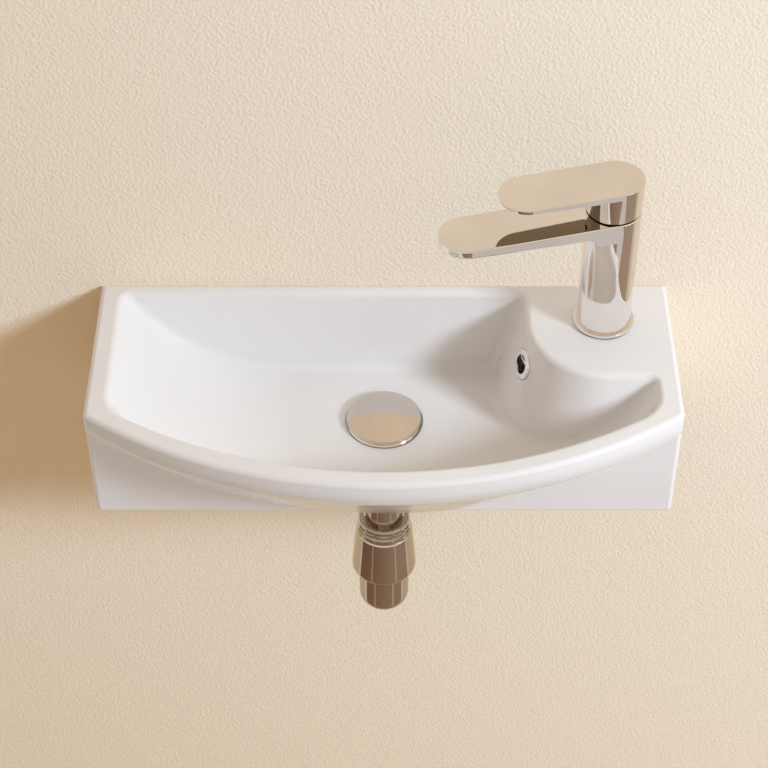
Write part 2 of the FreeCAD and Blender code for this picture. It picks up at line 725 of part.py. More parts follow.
def plug_pieces(flange_top, guide_floor):
    """The plug: a domed cap with its seal, the stem that runs in the guide and the spring below it."""
    seal_low = flange_top + SEAT_GAP
    cap_low = seal_low + PLUG_SEAL
    cap_top = cap_low + PLUG_EDGE + PLUG_CROWN
    cap_r = PLUG_CAP_D / 2
    crown_r = (cap_r**2 + PLUG_CROWN**2) / (2 * PLUG_CROWN)
    plate = cylinder(PLUG_CAP_D, cap_low, cap_top)
    cap = plate.common(Part.makeSphere(crown_r, Vector(0, 0, cap_top - crown_r)))
    rims = [e for e in cap.Edges if e.BoundBox.XLength > PLUG_CAP_D - 1 and e.BoundBox.ZLength < 1e-3]
    cap = cap.makeFillet(PLUG_EDGE_ROUND, rims)
    neck_low = cap_low - PLUG_NECK_HEIGHT
    cap = cap.fuse(cylinder(PLUG_NECK_D, neck_low, cap_low + PLUG_EDGE / 2))
    cap = cap.cut(cylinder(PLUG_STEM_D + 2 * RUN_FIT, -FAR, cap_low)).removeSplitter()
    stem_low = cap_low - PLUG_STEM_LENGTH
    spring_r = PLUG_STEM_D / 2 - SPRING_WIRE / 2 - SLIP_FIT
    path = spring_path(spring_r, guide_floor + SPRING_WIRE, stem_low - SPRING_WIRE, SPRING_TURNS)
    first = path.Edges[0]
    start = first.FirstParameter
    wire = Part.Wire(Part.makeCircle(SPRING_WIRE / 2, first.valueAt(start), first.tangentAt(start)))
    return {
        "waste_plug_cap": cap,
        "waste_plug_seal": ring(PLUG_SEAL_D, PLUG_SEAL_BORE, seal_low, cap_low),
        "waste_plug_stem": cylinder(PLUG_STEM_D, stem_low, cap_low),
        "waste_plug_spring": path.makePipeShell([wire], True, False),
    }


def trap_inlet_pieces():
    """What joins the waste to the trap: the dip tube, its coupling nut and washer, the nut on the bottle."""
    collar_top = WASTE_END_Z - COUPLING_WASHER
    dip_end = CUP_LOW_Z + CUP_WALL + DIP_CLEAR
    tube = cylinder(COLLAR_D, COLLAR_LOW_Z, collar_top).fuse(cylinder(TUBE_D, dip_end, COLLAR_LOW_Z))
    tube = tube.cut(cylinder(TUBE_BORE, -FAR, FAR)).removeSplitter()
    nut_top = WASTE_END_Z + COUPLING_GRIP
    nut = cylinder(COUPLING_NUT_D, COUPLING_LOW_Z, nut_top)
    nut = nut.makeFillet(COUPLING_ROUND, flat_edges(nut, COUPLING_LOW_Z))
    flute_x = COUPLING_NUT_D / 2 + COUPLING_FLUTE_D / 2 - COUPLING_FLUTE_DEPTH
    flute = cylinder(COUPLING_FLUTE_D, COLLAR_LOW_Z, nut_top - OVERCUT, flute_x, 0)
    thread_hole = cylinder(WASTE_THREAD_D + 2 * RUN_FIT, COLLAR_LOW_Z, FAR)
    nut = nut.cut([thread_hole, cylinder(TUBE_HOLE, -FAR, FAR), *spaced(flute, COUPLING_FLUTES)])

    shelf_top = TRAP_TOP_Z - TOP_NUT_RECESS
    shelf_low = shelf_top - TOP_NUT_SHELF
    mouth_r = TOP_NUT_MOUTH_D / 2
    thread_r = TOP_NECK_D / 2 + RUN_FIT
    beads = [(TOP_NUT_D / 2 + out, TRAP_TOP_Z - share * TOP_NUT_HEIGHT) for share, out in TOP_NUT_BEADS]
    top_nut = turned([
        *beads, (thread_r, BELL_TOP_Z), (thread_r, shelf_low), (TUBE_HOLE / 2, shelf_low),
        (TUBE_HOLE / 2, shelf_top), (mouth_r, shelf_top), (mouth_r, TRAP_TOP_Z),
    ])
    return {
        "trap_inlet_tube": tube,
        "trap_coupling_nut": nut.removeSplitter(),
        "trap_coupling_washer": ring(COLLAR_D, TUBE_BORE, collar_top, WASTE_END_Z),
        "trap_top_nut": top_nut.makeFillet(TOP_NUT_ROUND, flat_edges(top_nut, TRAP_TOP_Z)),
        "trap_top_seal": ring(TOP_SEAL_D, TUBE_D + 2 * RUN_FIT, shelf_low - TOP_SEAL, shelf_low),
    }


def trap_bottle_pieces():
    """The bottle: a bell with the outlet socket at its back and the cup screwed in below."""
    neck_top = TRAP_TOP_Z - TOP_NUT_RECESS - TOP_NUT_SHELF - TOP_SEAL
    top_r = BELL_TOP_D / 2
    low_r = BELL_LOW_D / 2
    skirt_z = BELL_LOW_Z + BELL_SKIRT
    spigot_z = BELL_LOW_Z + CUP_SPIGOT_HEIGHT
    bell = turned([
        (0, BELL_TOP_Z), (top_r, BELL_TOP_Z), (low_r, skirt_z), (low_r, BELL_LOW_Z), (0, BELL_LOW_Z),
    ])
    bell = bell.makeFillet(BELL_ROUND, flat_edges(bell, BELL_LOW_Z))
    bell = bell.makeFillet(BELL_WALL, flat_edges(bell, BELL_TOP_Z))
    socket = along_outlet(OUTLET_SOCKET_D, 0, OUTLET_SOCKET_REACH)
    neck = cylinder(TOP_NECK_D, BELL_TOP_Z - BELL_WALL, neck_top)
    roof_z = BELL_TOP_Z - BELL_WALL
    space = turned([
        (0, roof_z), (top_r - BELL_WALL, roof_z), (low_r - BELL_WALL, skirt_z + CUP_SPIGOT_HEIGHT),
        (CUP_SPIGOT_D / 2, spigot_z), (0, spigot_z),
    ])
    cup_mouth = CUP_SPIGOT_D + 2 * RUN_FIT
    bell = bell.fuse([socket, neck]).cut([
        space,
        cylinder(TUBE_HOLE, -FAR, FAR),
        cylinder(cup_mouth, -FAR, spigot_z),
        along_outlet(TUBE_BORE, TUBE_D / 2, FAR),
        along_outlet(TUBE_D + 2 * RUN_FIT, PIPE_START, FAR),
    ])
    cup = cylinder(CUP_D, CUP_LOW_Z, CUP_TOP_Z)
    cup = cup.makeFillet(CUP_ROUND, flat_edges(cup, CUP_LOW_Z))
    cup = cup.fuse(cylinder(CUP_SPIGOT_D, CUP_TOP_Z, spigot_z - SLIP_FIT))
    floor_z = CUP_LOW_Z + CUP_WALL
    inside = cylinder(CUP_SPIGOT_D - 2 * CUP_WALL, floor_z, FAR)
    inside = inside.makeFillet(CUP_ROUND - CUP_WALL, flat_edges(inside, floor_z))
    return {
        "trap_body": bell.removeSplitter(),
        "trap_cup": cup.cut(inside).removeSplitter(),
        "trap_cup_seal": ring(CUP_D, cup_mouth, CUP_TOP_Z, BELL_LOW_Z),
    }


def along_outlet(d, y0, y1):
    """A level rod on the outlet's axis, between two distances behind the drain."""
    return Part.makeCylinder(d / 2, y1 - y0, Vector(0, y0, OUTLET_Z), Vector(0, 1, 0))


def trap_outlet_pieces():
    """The outlet: a level pipe through the wall, its nut and seal, and the rosette on the wall."""
    wall_y = -DRAIN_Y
    seal_end = OUTLET_SOCKET_REACH + OUTLET_SEAL
    pipe_hole = along_outlet(TUBE_D + 2 * RUN_FIT, 0, FAR)
    pipe = along_outlet(TUBE_D, PIPE_START, wall_y + OUTLET_STUB).cut(along_outlet(TUBE_BORE, 0, FAR))
    mark = along_outlet(TUBE_HOLE, wall_y, wall_y + OUTLET_MARK_WIDTH)
    pipe = pipe.cut(mark.cut(along_outlet(TUBE_D - 2 * OUTLET_MARK_DEPTH, 0, FAR)))
    nut_end = seal_end + OUTLET_NUT_LIP
    nut = along_outlet(OUTLET_NUT_D, nut_end - OUTLET_NUT_LENGTH, nut_end)
    nut = nut.makeFillet(OUTLET_NUT_ROUND, [e for e in nut.Edges if e.BoundBox.YLength < 1e-3])
    nut = nut.cut([along_outlet(OUTLET_SOCKET_D + 2 * RUN_FIT, 0, seal_end), pipe_hole])
    rose_r = ROSETTE_D / 2
    knee_r = ROSETTE_KNEE_D / 2
    hole_r = TUBE_HOLE / 2
    rosette = turned([
        (hole_r, ROSETTE_DEPTH), (hole_r + ROSETTE_WALL, ROSETTE_DEPTH),
        (hole_r + 2 * ROSETTE_WALL, ROSETTE_NECK_DEPTH), (knee_r, ROSETTE_KNEE_DEPTH),
        (rose_r, ROSETTE_WALL), (rose_r, 0), (rose_r - ROSETTE_WALL, 0),
        (knee_r - ROSETTE_WALL, ROSETTE_KNEE_DEPTH - ROSETTE_WALL),
        (hole_r + ROSETTE_WALL, ROSETTE_NECK_DEPTH - ROSETTE_WALL),
        (hole_r, ROSETTE_NECK_DEPTH - ROSETTE_WALL),
    ])
    rosette.rotate(Vector(), Vector(1, 0, 0), 90)
    rosette.translate(Vector(0, wall_y, OUTLET_Z))
    return {
        "trap_outlet_pipe": pipe,
        "trap_outlet_seal": along_outlet(OUTLET_SOCKET_D, OUTLET_SOCKET_REACH, seal_end).cut(pipe_hole),
        "trap_outlet_nut": nut,
        "wall_rosette": rosette,
    }


def stadium(root_d, tip_d, reach, z0, z1):
    """An upright prism whose plan is two circles joined by their tangents, along +X."""
    tilt = math.asin((root_d - tip_d) / 2 / reach)
    r0 = root_d / 2
    r1 = tip_d / 2

    def at(cx, r, angle):
        return Vector(cx + r * math.cos(angle), r * math.sin(angle), z0)

    up = math.pi / 2 - tilt
    return extruded([
        Part.Arc(at(0, r0, up), at(0, r0, math.pi), at(0, r0, -up)).toShape(),
        Part.makeLine(at(0, r0, -up), at(reach, r1, -up)),
        Part.Arc(at(reach, r1, -up), at(reach, r1, 0), at(reach, r1, up)).toShape(),
        Part.makeLine(at(reach, r1, up), at(0, r0, up)),
    ], Vector(0, 0, z1 - z0))


def tap_body():
    """The tap's column and flat spout in one casting, with its bores and waterways."""
    r = COLUMN_D / 2
    tip_x = SPOUT_REACH + SPOUT_TIP_D / 2 + OVERCUT
    under = COLUMN_TOP - SPOUT_ROOT_THICK
    half = COLUMN_D
    plan = stadium(COLUMN_D, SPOUT_TIP_D, SPOUT_REACH, under - 2 * SPOUT_ROOT_ROUND, COLUMN_TOP)
    fillet_low = under - SPOUT_ROOT_ROUND
    mid = SPOUT_ROOT_ROUND * math.sqrt(0.5)
    bend_x = r + SPOUT_ROOT_ROUND

    def at(x, z):
        return Vector(x, -half, z)

    side = extruded([
        Part.makeLine(at(-half, COLUMN_TOP), at(tip_x, COLUMN_TOP)),
        Part.makeLine(at(tip_x, COLUMN_TOP), at(tip_x, COLUMN_TOP - SPOUT_TIP_THICK)),
        Part.makeLine(at(tip_x, COLUMN_TOP - SPOUT_TIP_THICK), at(bend_x, under)),
        Part.Arc(at(bend_x, under), at(bend_x - mid, fillet_low + mid), at(r, fillet_low)).toShape(),
        Part.makeLine(at(r, fillet_low), at(-half, fillet_low)),
        Part.makeLine(at(-half, fillet_low), at(-half, COLUMN_TOP)),
    ], Vector(0, 2 * half, 0))
    arm = plan.common(side)
    tips = [e for e in arm.Edges if e.BoundBox.XMin > bend_x - 1e-3 and e.BoundBox.ZMax < COLUMN_TOP - 1
            and e.BoundBox.XLength > 1]
    arm = arm.makeFillet(SPOUT_UNDER_ROUND, tips)
    body = cylinder(COLUMN_D, BASE_GASKET, COLUMN_TOP - OVERCUT).fuse(arm).removeSplitter()
    body = body.makeFillet(SPOUT_TOP_ROUND, flat_edges(body, COLUMN_TOP))
    seat_z = COLUMN_TOP - CARTRIDGE_SEAT
    nut_low = COLUMN_TOP - NUT_HEIGHT
    riser_x = (CARTRIDGE_D / 2 + r) / 2
    roof = COLUMN_TOP - SPOUT_SKIN
    half_way = SPOUT_CHANNEL_WIDTH / 2
    cross_z = seat_z - RISER_D
    under_tip = spout_under(AERATOR_AT)
    cuts = [
        cylinder(CARTRIDGE_D + 2 * SLIP_FIT, seat_z, FAR),
        cylinder(NUT_THREAD_D + 2 * RUN_FIT, nut_low, FAR),
        cylinder(RISER_D, cross_z, roof, riser_x, 0),
        box(riser_x - RISER_D / 2, AERATOR_AT, -half_way, half_way, roof - SPOUT_CHANNEL_HEIGHT, roof).cut(
            cylinder(CARTRIDGE_D + RISER_D, -FAR, FAR)),
        Part.makeCylinder(RISER_D / 2, riser_x, Vector(0, 0, cross_z), Vector(1, 0, 0)),
        cylinder(CARTRIDGE_PORT_D, cross_z, seat_z + OVERCUT, CARTRIDGE_PORT_SPREAD, 0),
        cylinder(AERATOR_D - 2 * AERATOR_WALL, under_tip - OVERCUT, roof, AERATOR_AT, 0),
        cylinder(AERATOR_D + 2 * RUN_FIT, -FAR, under_tip + AERATOR_GRIP + AERATOR_SEAL, AERATOR_AT, 0),
        cylinder(STUD_D + 2 * RUN_FIT, -OVERCUT, BASE_GASKET + STUD_GRIP, -STUD_BACK, 0),
    ]
    for side_sign in (-1, 1):
        y = side_sign * INLET_SPREAD
        cuts.append(cylinder(INLET_D, -OVERCUT, BASE_GASKET + INLET_DEPTH, INLET_FORWARD, y))
        port_x = -CARTRIDGE_PORT_SPREAD / 2
        port_y = side_sign * CARTRIDGE_PORT_SPREAD * math.sqrt(0.75)
        foot = Vector(INLET_FORWARD, y, BASE_GASKET + INLET_DEPTH - OVERCUT)
        feed = Vector(port_x, port_y, seat_z + OVERCUT) - foot
        cuts.append(Part.makeCylinder(CARTRIDGE_PORT_D / 2, feed.Length, foot, feed))
    return body.cut(cuts).removeSplitter()


def spout_under(x):
    """Height of the spout's underside at a distance along it."""
    bend_x = COLUMN_D / 2 + SPOUT_ROOT_ROUND
    tip_x = SPOUT_REACH + SPOUT_TIP_D / 2 + OVERCUT
    share = (x - bend_x) / (tip_x - bend_x)
    return COLUMN_TOP - SPOUT_ROOT_THICK + share * (SPOUT_ROOT_THICK - SPOUT_TIP_THICK)


def tap_lever():
    """The lever: a hollow hub under a flat paddle, with a boss for the cartridge stem."""
    low = COLUMN_TOP + LEVER_GAP
    r = COLUMN_D / 2
    tip_x = LEVER_REACH + r + OVERCUT
    half = COLUMN_D
    plan = stadium(COLUMN_D, COLUMN_D, LEVER_REACH, low, LEVER_TOP)

    def at(x, z):
        return Vector(x, -half, z)

    paddle = extruded([
        Part.makeLine(at(-half, LEVER_TOP), at(tip_x, LEVER_TOP)),
        Part.makeLine(at(tip_x, LEVER_TOP), at(tip_x, LEVER_TOP - LEVER_TIP_THICK)),
        Part.makeLine(at(tip_x, LEVER_TOP - LEVER_TIP_THICK), at(r, LEVER_TOP - LEVER_ROOT_THICK)),
        Part.makeLine(at(r, LEVER_TOP - LEVER_ROOT_THICK), at(-half, LEVER_TOP - LEVER_ROOT_THICK)),
        Part.makeLine(at(-half, LEVER_TOP - LEVER_ROOT_THICK), at(-half, LEVER_TOP)),
    ], Vector(0, 2 * half, 0)).common(plan)
    lever = cylinder(COLUMN_D, low, LEVER_TOP - OVERCUT).fuse(paddle).removeSplitter()
    lever = lever.makeFillet(LEVER_EDGE_ROUND, flat_edges(lever, LEVER_TOP))
    roof = LEVER_TOP - HUB_ROOF
    step = low + HUB_STEP
    boss_low = roof - HUB_BOSS_DROP
    hollow = cylinder(COLUMN_D - 2 * HUB_WALL, low - OVERCUT, step)
    hollow = hollow.fuse(cylinder(COLUMN_D - 2 * HUB_UPPER_WALL, low, roof))
    hollow = hollow.cut(cylinder(HUB_BOSS_D, boss_low, roof + OVERCUT))
    half_stem = STEM_WIDTH / 2 + RUN_FIT
    socket = box(-half_stem, half_stem, -half_stem, half_stem, boss_low - OVERCUT, roof)
    grub_z = (boss_low + roof) / 2
    grub = Part.makeCylinder(GRUB_D / 2 + RUN_FIT, r + OVERCUT, Vector(0, 0, grub_z), Vector(1, 0, 0))
    rise = math.tan(math.radians(LEVER_UNDERCUT))
    back_x = -r - OVERCUT
    back_z = low + (r - back_x) * rise
    start = at(r, low - OVERCUT)
    wedge = Part.makePolygon([start, at(r, low), at(back_x, back_z), at(back_x, low - OVERCUT), start])
    undercut = Part.Face(wedge).extrude(Vector(0, 2 * half, 0))
    return lever.cut([hollow, socket, grub, undercut]).removeSplitter()


def tap_pieces():
    """The tap's pieces about its own upright axis, with the spout along +X and the ledge at Z = 0."""
    r = COLUMN_D / 2
    seat_z = COLUMN_TOP - CARTRIDGE_SEAT
    base_z = seat_z + CARTRIDGE_SEAL
    floor_z = base_z + CARTRIDGE_BASE
    nut_low = COLUMN_TOP - NUT_HEIGHT
    pivot_z = COLUMN_TOP - PIVOT_DROP
    bore_d = CARTRIDGE_D - 2 * CARTRIDGE_WALL
    spin_d = bore_d - 2 * RUN_FIT
    turn = 2 * math.pi / 3
    ports = [cylinder(CARTRIDGE_PORT_D, seat_z - OVERCUT, floor_z + DISC_THICK + OVERCUT,
                      CARTRIDGE_PORT_SPREAD * math.cos(i * turn), CARTRIDGE_PORT_SPREAD * math.sin(i * turn))
             for i in range(3)]
    housing = ring(CARTRIDGE_D, bore_d, floor_z, nut_low).fuse(cylinder(CARTRIDGE_D, base_z, floor_z))
    fixed_top = floor_z + DISC_THICK
    moving_low = fixed_top + SEAT_GAP
    moving_top = moving_low + DISC_THICK
    carrier_low = moving_top + SEAT_GAP
    carrier_top = COLUMN_TOP + CARRIER_RISE
    neck_d = CARRIER_NECK_D
    carrier = cylinder(spin_d, carrier_low, nut_low - SEAT_GAP)
    carrier = carrier.fuse(cylinder(neck_d, carrier_low, carrier_top))
    half_slot = STEM_WIDTH / 2 + SLIP_FIT
    lift = math.radians(LIFT_ANGLE)
    swing = (carrier_top - pivot_z) * math.tan(lift) + STEM_WIDTH / 2 / math.cos(lift)
    kick = (STEM_TAIL + SLIP_FIT) * math.sin(lift) + STEM_WIDTH / 2
    slot = box(-swing - SLIP_FIT, kick + SLIP_FIT, -half_slot, half_slot, pivot_z - STEM_TAIL - OVERCUT, FAR)
    pin_hole = Part.makeCylinder(PIVOT_PIN_D / 2, spin_d, Vector(0, -spin_d / 2, pivot_z), Vector(0, 1, 0))
    pin_start = Vector(0, -PIVOT_PIN_LENGTH / 2, pivot_z)
    pin = Part.makeCylinder(PIVOT_PIN_D / 2, PIVOT_PIN_LENGTH, pin_start, Vector(0, 1, 0))
    half_stem = STEM_WIDTH / 2
    stem_top = LEVER_TOP - HUB_ROOF - SEAT_GAP
    stem = box(-half_stem, half_stem, -half_stem, half_stem, pivot_z - STEM_TAIL, stem_top)
    eye_start = Vector(0, -half_stem - OVERCUT, pivot_z)
    eye_length = STEM_WIDTH + 2 * OVERCUT
    stem_eye = Part.makeCylinder(PIVOT_PIN_D / 2 + RUN_FIT, eye_length, eye_start, Vector(0, 1, 0))
    nut = ring(NUT_THREAD_D, neck_d + 2 * SLIP_FIT, nut_low, COLUMN_TOP)
    half_notch = NUT_NOTCH / 2
    notch = box(neck_d / 2, r, -half_notch, half_notch, COLUMN_TOP - NUT_HEIGHT / 2, COLUMN_TOP + OVERCUT)
    grub_z = LEVER_TOP - HUB_ROOF - HUB_BOSS_DROP / 2
    grub = Part.makeCylinder(GRUB_D / 2, GRUB_LENGTH, Vector(half_stem, 0, grub_z), Vector(1, 0, 0))
    grub_key = hexagon(GRUB_SOCKET, 0, GRUB_LENGTH / 2)
    grub_key.rotate(Vector(), Vector(0, 1, 0), 90)
    grub_key.translate(Vector(half_stem + GRUB_LENGTH / 2, 0, grub_z))
    base_ring = ring(BASE_RING_D, COLUMN_D + 2 * RUN_FIT, BASE_GASKET, BASE_GASKET + BASE_RING_HEIGHT)
    outer_rims = [e for e in base_ring.Edges if e.BoundBox.XLength > BASE_RING_D - 1e-3
                  and e.BoundBox.ZLength < 1e-3]
    base_ring = base_ring.makeFillet(BASE_RING_ROUND, outer_rims)
    openings = [cylinder(STUD_D + 2 * SLIP_FIT, -FAR, FAR, -STUD_BACK, 0)]
    for side in (-1, 1):
        openings.append(cylinder(INLET_PASS_D, -FAR, FAR, INLET_FORWARD, side * INLET_SPREAD))
    pieces = {
        "tap_body": tap_body(),
        "tap_base_ring": base_ring,
        "tap_base_gasket": cylinder(BASE_GASKET_D, 0, BASE_GASKET).cut(openings),
        "tap_lever": tap_lever(),
        "tap_lever_screw": grub.cut(grub_key),
        "cartridge_housing": housing.cut(ports).removeSplitter(),
        "cartridge_seal": cylinder(CARTRIDGE_SEAL_D, seat_z, base_z).cut(ports),
        "cartridge_fixed_disc": cylinder(bore_d - 2 * RUN_FIT, floor_z, fixed_top).cut(ports),
        "cartridge_moving_disc": cylinder(MOVING_DISC_D, moving_low, moving_top),
        "cartridge_carrier": carrier.cut([slot, pin_hole]).removeSplitter(),
        "cartridge_pivot_pin": pin,
        "cartridge_stem": stem.cut(stem_eye),
        "cartridge_nut": nut.cut(spaced(notch, 2, 90.0)),
    }
    pieces.update(aerator_pieces())
    pieces.update(fixing_pieces())
    for shape in pieces.values():
        shape.rotate(Vector(), Vector(0, 0, 1), 180 + TAP_TURN)
        shape.translate(Vector(TAP_X, TAP_Y, 0))
    return pieces


def aerator_pieces():
    """The aerator under the spout's tip: a screwed ring, a drilled plate and a seal."""
    under = spout_under(AERATOR_AT)
    low = under - AERATOR_PROUD
    top = under + AERATOR_GRIP
    inner_d = AERATOR_D - 2 * AERATOR_WALL
    plate_d = inner_d - 2 * RUN_FIT
    housing = ring(AERATOR_D, inner_d, low, top)
    lip_z = low + AERATOR_LIP_HEIGHT
    housing = housing.fuse(ring(AERATOR_D, inner_d - 2 * AERATOR_LIP, low, lip_z)).removeSplitter()
    plate = cylinder(plate_d, lip_z, lip_z + AERATOR_PLATE)
    reach = plate_d / 2 - AERATOR_HOLE_D
    rows = int(reach / AERATOR_HOLE_PITCH) + 1
    holes = []
    for i in range(-rows, rows + 1):
        for j in range(-rows, rows + 1):
            x = (i + 0.5 * (j % 2)) * AERATOR_HOLE_PITCH
            y = j * AERATOR_HOLE_PITCH * math.sqrt(0.75)
            if math.hypot(x, y) < reach:
                holes.append(cylinder(AERATOR_HOLE_D, low - OVERCUT, top + OVERCUT, x, y))
    pieces = {
        "aerator_housing": housing,
        "aerator_plate": plate.cut(holes),
        "aerator_seal": ring(AERATOR_D, inner_d, top, top + AERATOR_SEAL),
    }
    for shape in pieces.values():
        shape.translate(Vector(AERATOR_AT, 0, 0))
    return pieces


def fixing_pieces():
    """What clamps the tap under the ledge: a stud, a slotted plate and gasket, and a nut."""
    gasket_low = -DECK_WALL - CLAMP_GASKET
    plate_low = gasket_low - CLAMP_PLATE
    nut_low = plate_low - FIXING_NUT_HEIGHT
    half_slot = CLAMP_SLOT / 2
    slot_back = STUD_D / 2 + CLAMP_LAND - STUD_BACK
    slot = box(slot_back, CLAMP_D, -half_slot, half_slot, -FAR, FAR)
    stud_hole = cylinder(STUD_D + 2 * RUN_FIT, -FAR, FAR, -STUD_BACK, 0)
    nut = hexagon(FIXING_NUT_AF, nut_low, plate_low, -STUD_BACK, 0)
    stud_top = BASE_GASKET + STUD_GRIP
    return {
        "tap_stud": cylinder(STUD_D, stud_top - STUD_LENGTH, stud_top, -STUD_BACK, 0),
        "tap_clamp_gasket": cylinder(CLAMP_D, gasket_low, -DECK_WALL).cut([slot, stud_hole]),
        "tap_clamp_plate": cylinder(CLAMP_D, plate_low, gasket_low).cut([slot, stud_hole]),
        "tap_fixing_nut": nut.cut(stud_hole),
    }


def main():
    """Builds every piece and writes each one to its own file."""
    os.makedirs("parts", exist_ok=True)
    pieces = {"basin_body": basin_body()}
    pieces.update(overflow_ring())
    drain = waste_pieces()
    for group in (trap_inlet_pieces(), trap_bottle_pieces(), trap_outlet_pieces()):
        drain.update(group)
    for shape in drain.values():
        shape.translate(Vector(0, DRAIN_Y, 0))
    pieces.update(drain)
    pieces.update(tap_pieces())
    for name, shape in pieces.items():
        shape.translate(Vector(0, 0, WALL_HOLE_DROP))
        shape.exportStep(f"parts/{name}.step")
        print(f"{name}: {len(shape.Solids)} solid, {shape.Volume / 1000:.2f} cm3, valid {shape.isValid()}")


main()
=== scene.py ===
"""Looks of the wall-hung washbasin: finishes, threads, studio and camera around its solids."""

import logging
import math
from dataclasses import dataclass, replace
from enum import Enum
from typing import Any, Callable, Sequence

import bmesh
import bpy
from mathutils import Matrix, Vector


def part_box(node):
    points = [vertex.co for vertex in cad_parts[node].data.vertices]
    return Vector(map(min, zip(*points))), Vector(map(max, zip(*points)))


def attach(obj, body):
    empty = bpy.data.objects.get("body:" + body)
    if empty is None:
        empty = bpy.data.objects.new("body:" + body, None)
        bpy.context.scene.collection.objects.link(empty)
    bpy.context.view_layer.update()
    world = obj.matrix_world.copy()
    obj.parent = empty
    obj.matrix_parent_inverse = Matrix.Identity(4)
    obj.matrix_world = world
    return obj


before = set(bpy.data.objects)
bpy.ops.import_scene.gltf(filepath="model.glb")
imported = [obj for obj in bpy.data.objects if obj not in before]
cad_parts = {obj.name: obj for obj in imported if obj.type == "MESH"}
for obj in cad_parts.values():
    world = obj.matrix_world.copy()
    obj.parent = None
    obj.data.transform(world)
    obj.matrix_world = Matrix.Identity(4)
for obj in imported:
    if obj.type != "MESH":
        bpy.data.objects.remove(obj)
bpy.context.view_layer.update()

Colour = tuple[float, float, float]
Place = tuple[float, float, float]
Span = tuple[float, float]

LOG = logging.getLogger("washbasin")
WALL = "stage_wall"
MM = 0.001
MERGE_BELOW = 0.01 * MM
SMOOTH_BELOW = math.radians(40.0)
KEY_WAY: Place = (-0.72, 0.497, -0.485)
KEY_COLOUR: Colour = (0.76, 0.86, 1.0)


def opaque(colour: Colour) -> tuple[float, float, float, float]:
    """The colour with full alpha."""
    return (*colour, 1.0)


class Tree:
    """Adds and joins the nodes of one shader tree.

    Attributes:
        FIRST_COLOUR: Number of a Mix node's first colour input.
        SECOND_COLOUR: Number of its second colour input.
        MIXED_COLOUR: Number of its colour output.
    """

    FIRST_COLOUR = 6
    SECOND_COLOUR = 7
    MIXED_COLOUR = 2

    def __init__(self, tree: bpy.types.NodeTree) -> None:
        """Keeps the tree and empties it."""
        self.tree = tree
        tree.nodes.clear()

    def add(self, kind: str, feeds: dict[str | int, Any] | None = None,
            **settings: Any) -> bpy.types.Node:
        """Adds a node.

        Args:
            kind: Type name of the node.
            feeds: A value or another node's output for each input, by its name or number.
            settings: Properties of the node.

        Returns:
            The new node.
        """
        node = self.tree.nodes.new(kind)
        for name, value in settings.items():
            setattr(node, name, value)
        for key, value in (feeds or {}).items():
            self.feed(node.inputs[key], value)
        return node

    def feed(self, socket: bpy.types.NodeSocket, value: Any) -> None:
        """Links an input to an output, or sets its value.

        Args:
            socket: The input.
            value: The output or the value.
        """
        if isinstance(value, bpy.types.NodeSocket):
            self.tree.links.new(value, socket)
        else:
            socket.default_value = value

    def maths(self, operation: str, *values: Any) -> bpy.types.NodeSocket:
        """Works out one number.

        Args:
            operation: Name of the operation.
            values: Its numbers or outputs, in order.

        Returns:
            The result's socket.
        """
        node = self.add("ShaderNodeMath", dict(enumerate(values)), operation=operation)
        return node.outputs[0]

    def parts(self, vector: bpy.types.NodeSocket) -> Any:
        """The three numbers of a vector, as sockets."""
        return self.add("ShaderNodeSeparateXYZ", {"Vector": vector}).outputs

    def noise(self, vector: Any, scale: Any, detail: float, roughness: float = 0.5) -> bpy.types.NodeSocket:
        """Noise in space.

        Args:
            vector: Where it is read.
            scale: Its lumps per metre.
            detail: How many finer layers it has.
            roughness: How strong these are.

        Returns:
            The noise's socket, from 0 to 1.
        """
        feeds = {"Vector": vector, "Scale": scale, "Detail": detail, "Roughness": roughness}
        return self.add("ShaderNodeTexNoise", feeds).outputs["Fac"]

    def spread(self, value: Any, span: Span, to_low: Any = 0.0, to_high: Any = 1.0) -> bpy.types.NodeSocket:
        """Maps a range of numbers smoothly onto another.

        Args:
            value: The number to map.
            span: Start and end of its range.
            to_low: What the start becomes.
            to_high: What the end becomes.

        Returns:
            The mapped number's socket.
        """
        low, high = span
        feeds = {"Value": value, "From Min": low, "From Max": high, "To Min": to_low, "To Max": to_high}
        node = self.add("ShaderNodeMapRange", feeds, interpolation_type="SMOOTHSTEP")
        return node.outputs["Result"]

    def blend(self, share: Any, first: Any, second: Any) -> bpy.types.NodeSocket:
        """Mixes two numbers, by the share of the second."""
        return self.add("ShaderNodeMix", {"Factor": share, "A": first, "B": second}).outputs[0]

    def mix(self, share: Any, first: Any, second: Any) -> bpy.types.NodeSocket:
        """Mixes two colours.

        Args:
            share: How much of the second colour shows.
            first: The first colour.
            second: The second colour.

        Returns:
            The mixed colour's socket.
        """
        node = self.add("ShaderNodeMix", {"Factor": share}, data_type="RGBA")
        self.feed(node.inputs[self.FIRST_COLOUR], first)
        self.feed(node.inputs[self.SECOND_COLOUR], second)
        return node.outputs[self.MIXED_COLOUR]


class Effect(Enum):
    """Surface effects that several finishes share."""

    DRIFT = "tone_drift"
    HAIRLINES = "hairlines"
    WATER_MARKS = "water_marks"
    LATHE = "lathe_lines"
    GRAIN = "moulded_grain"


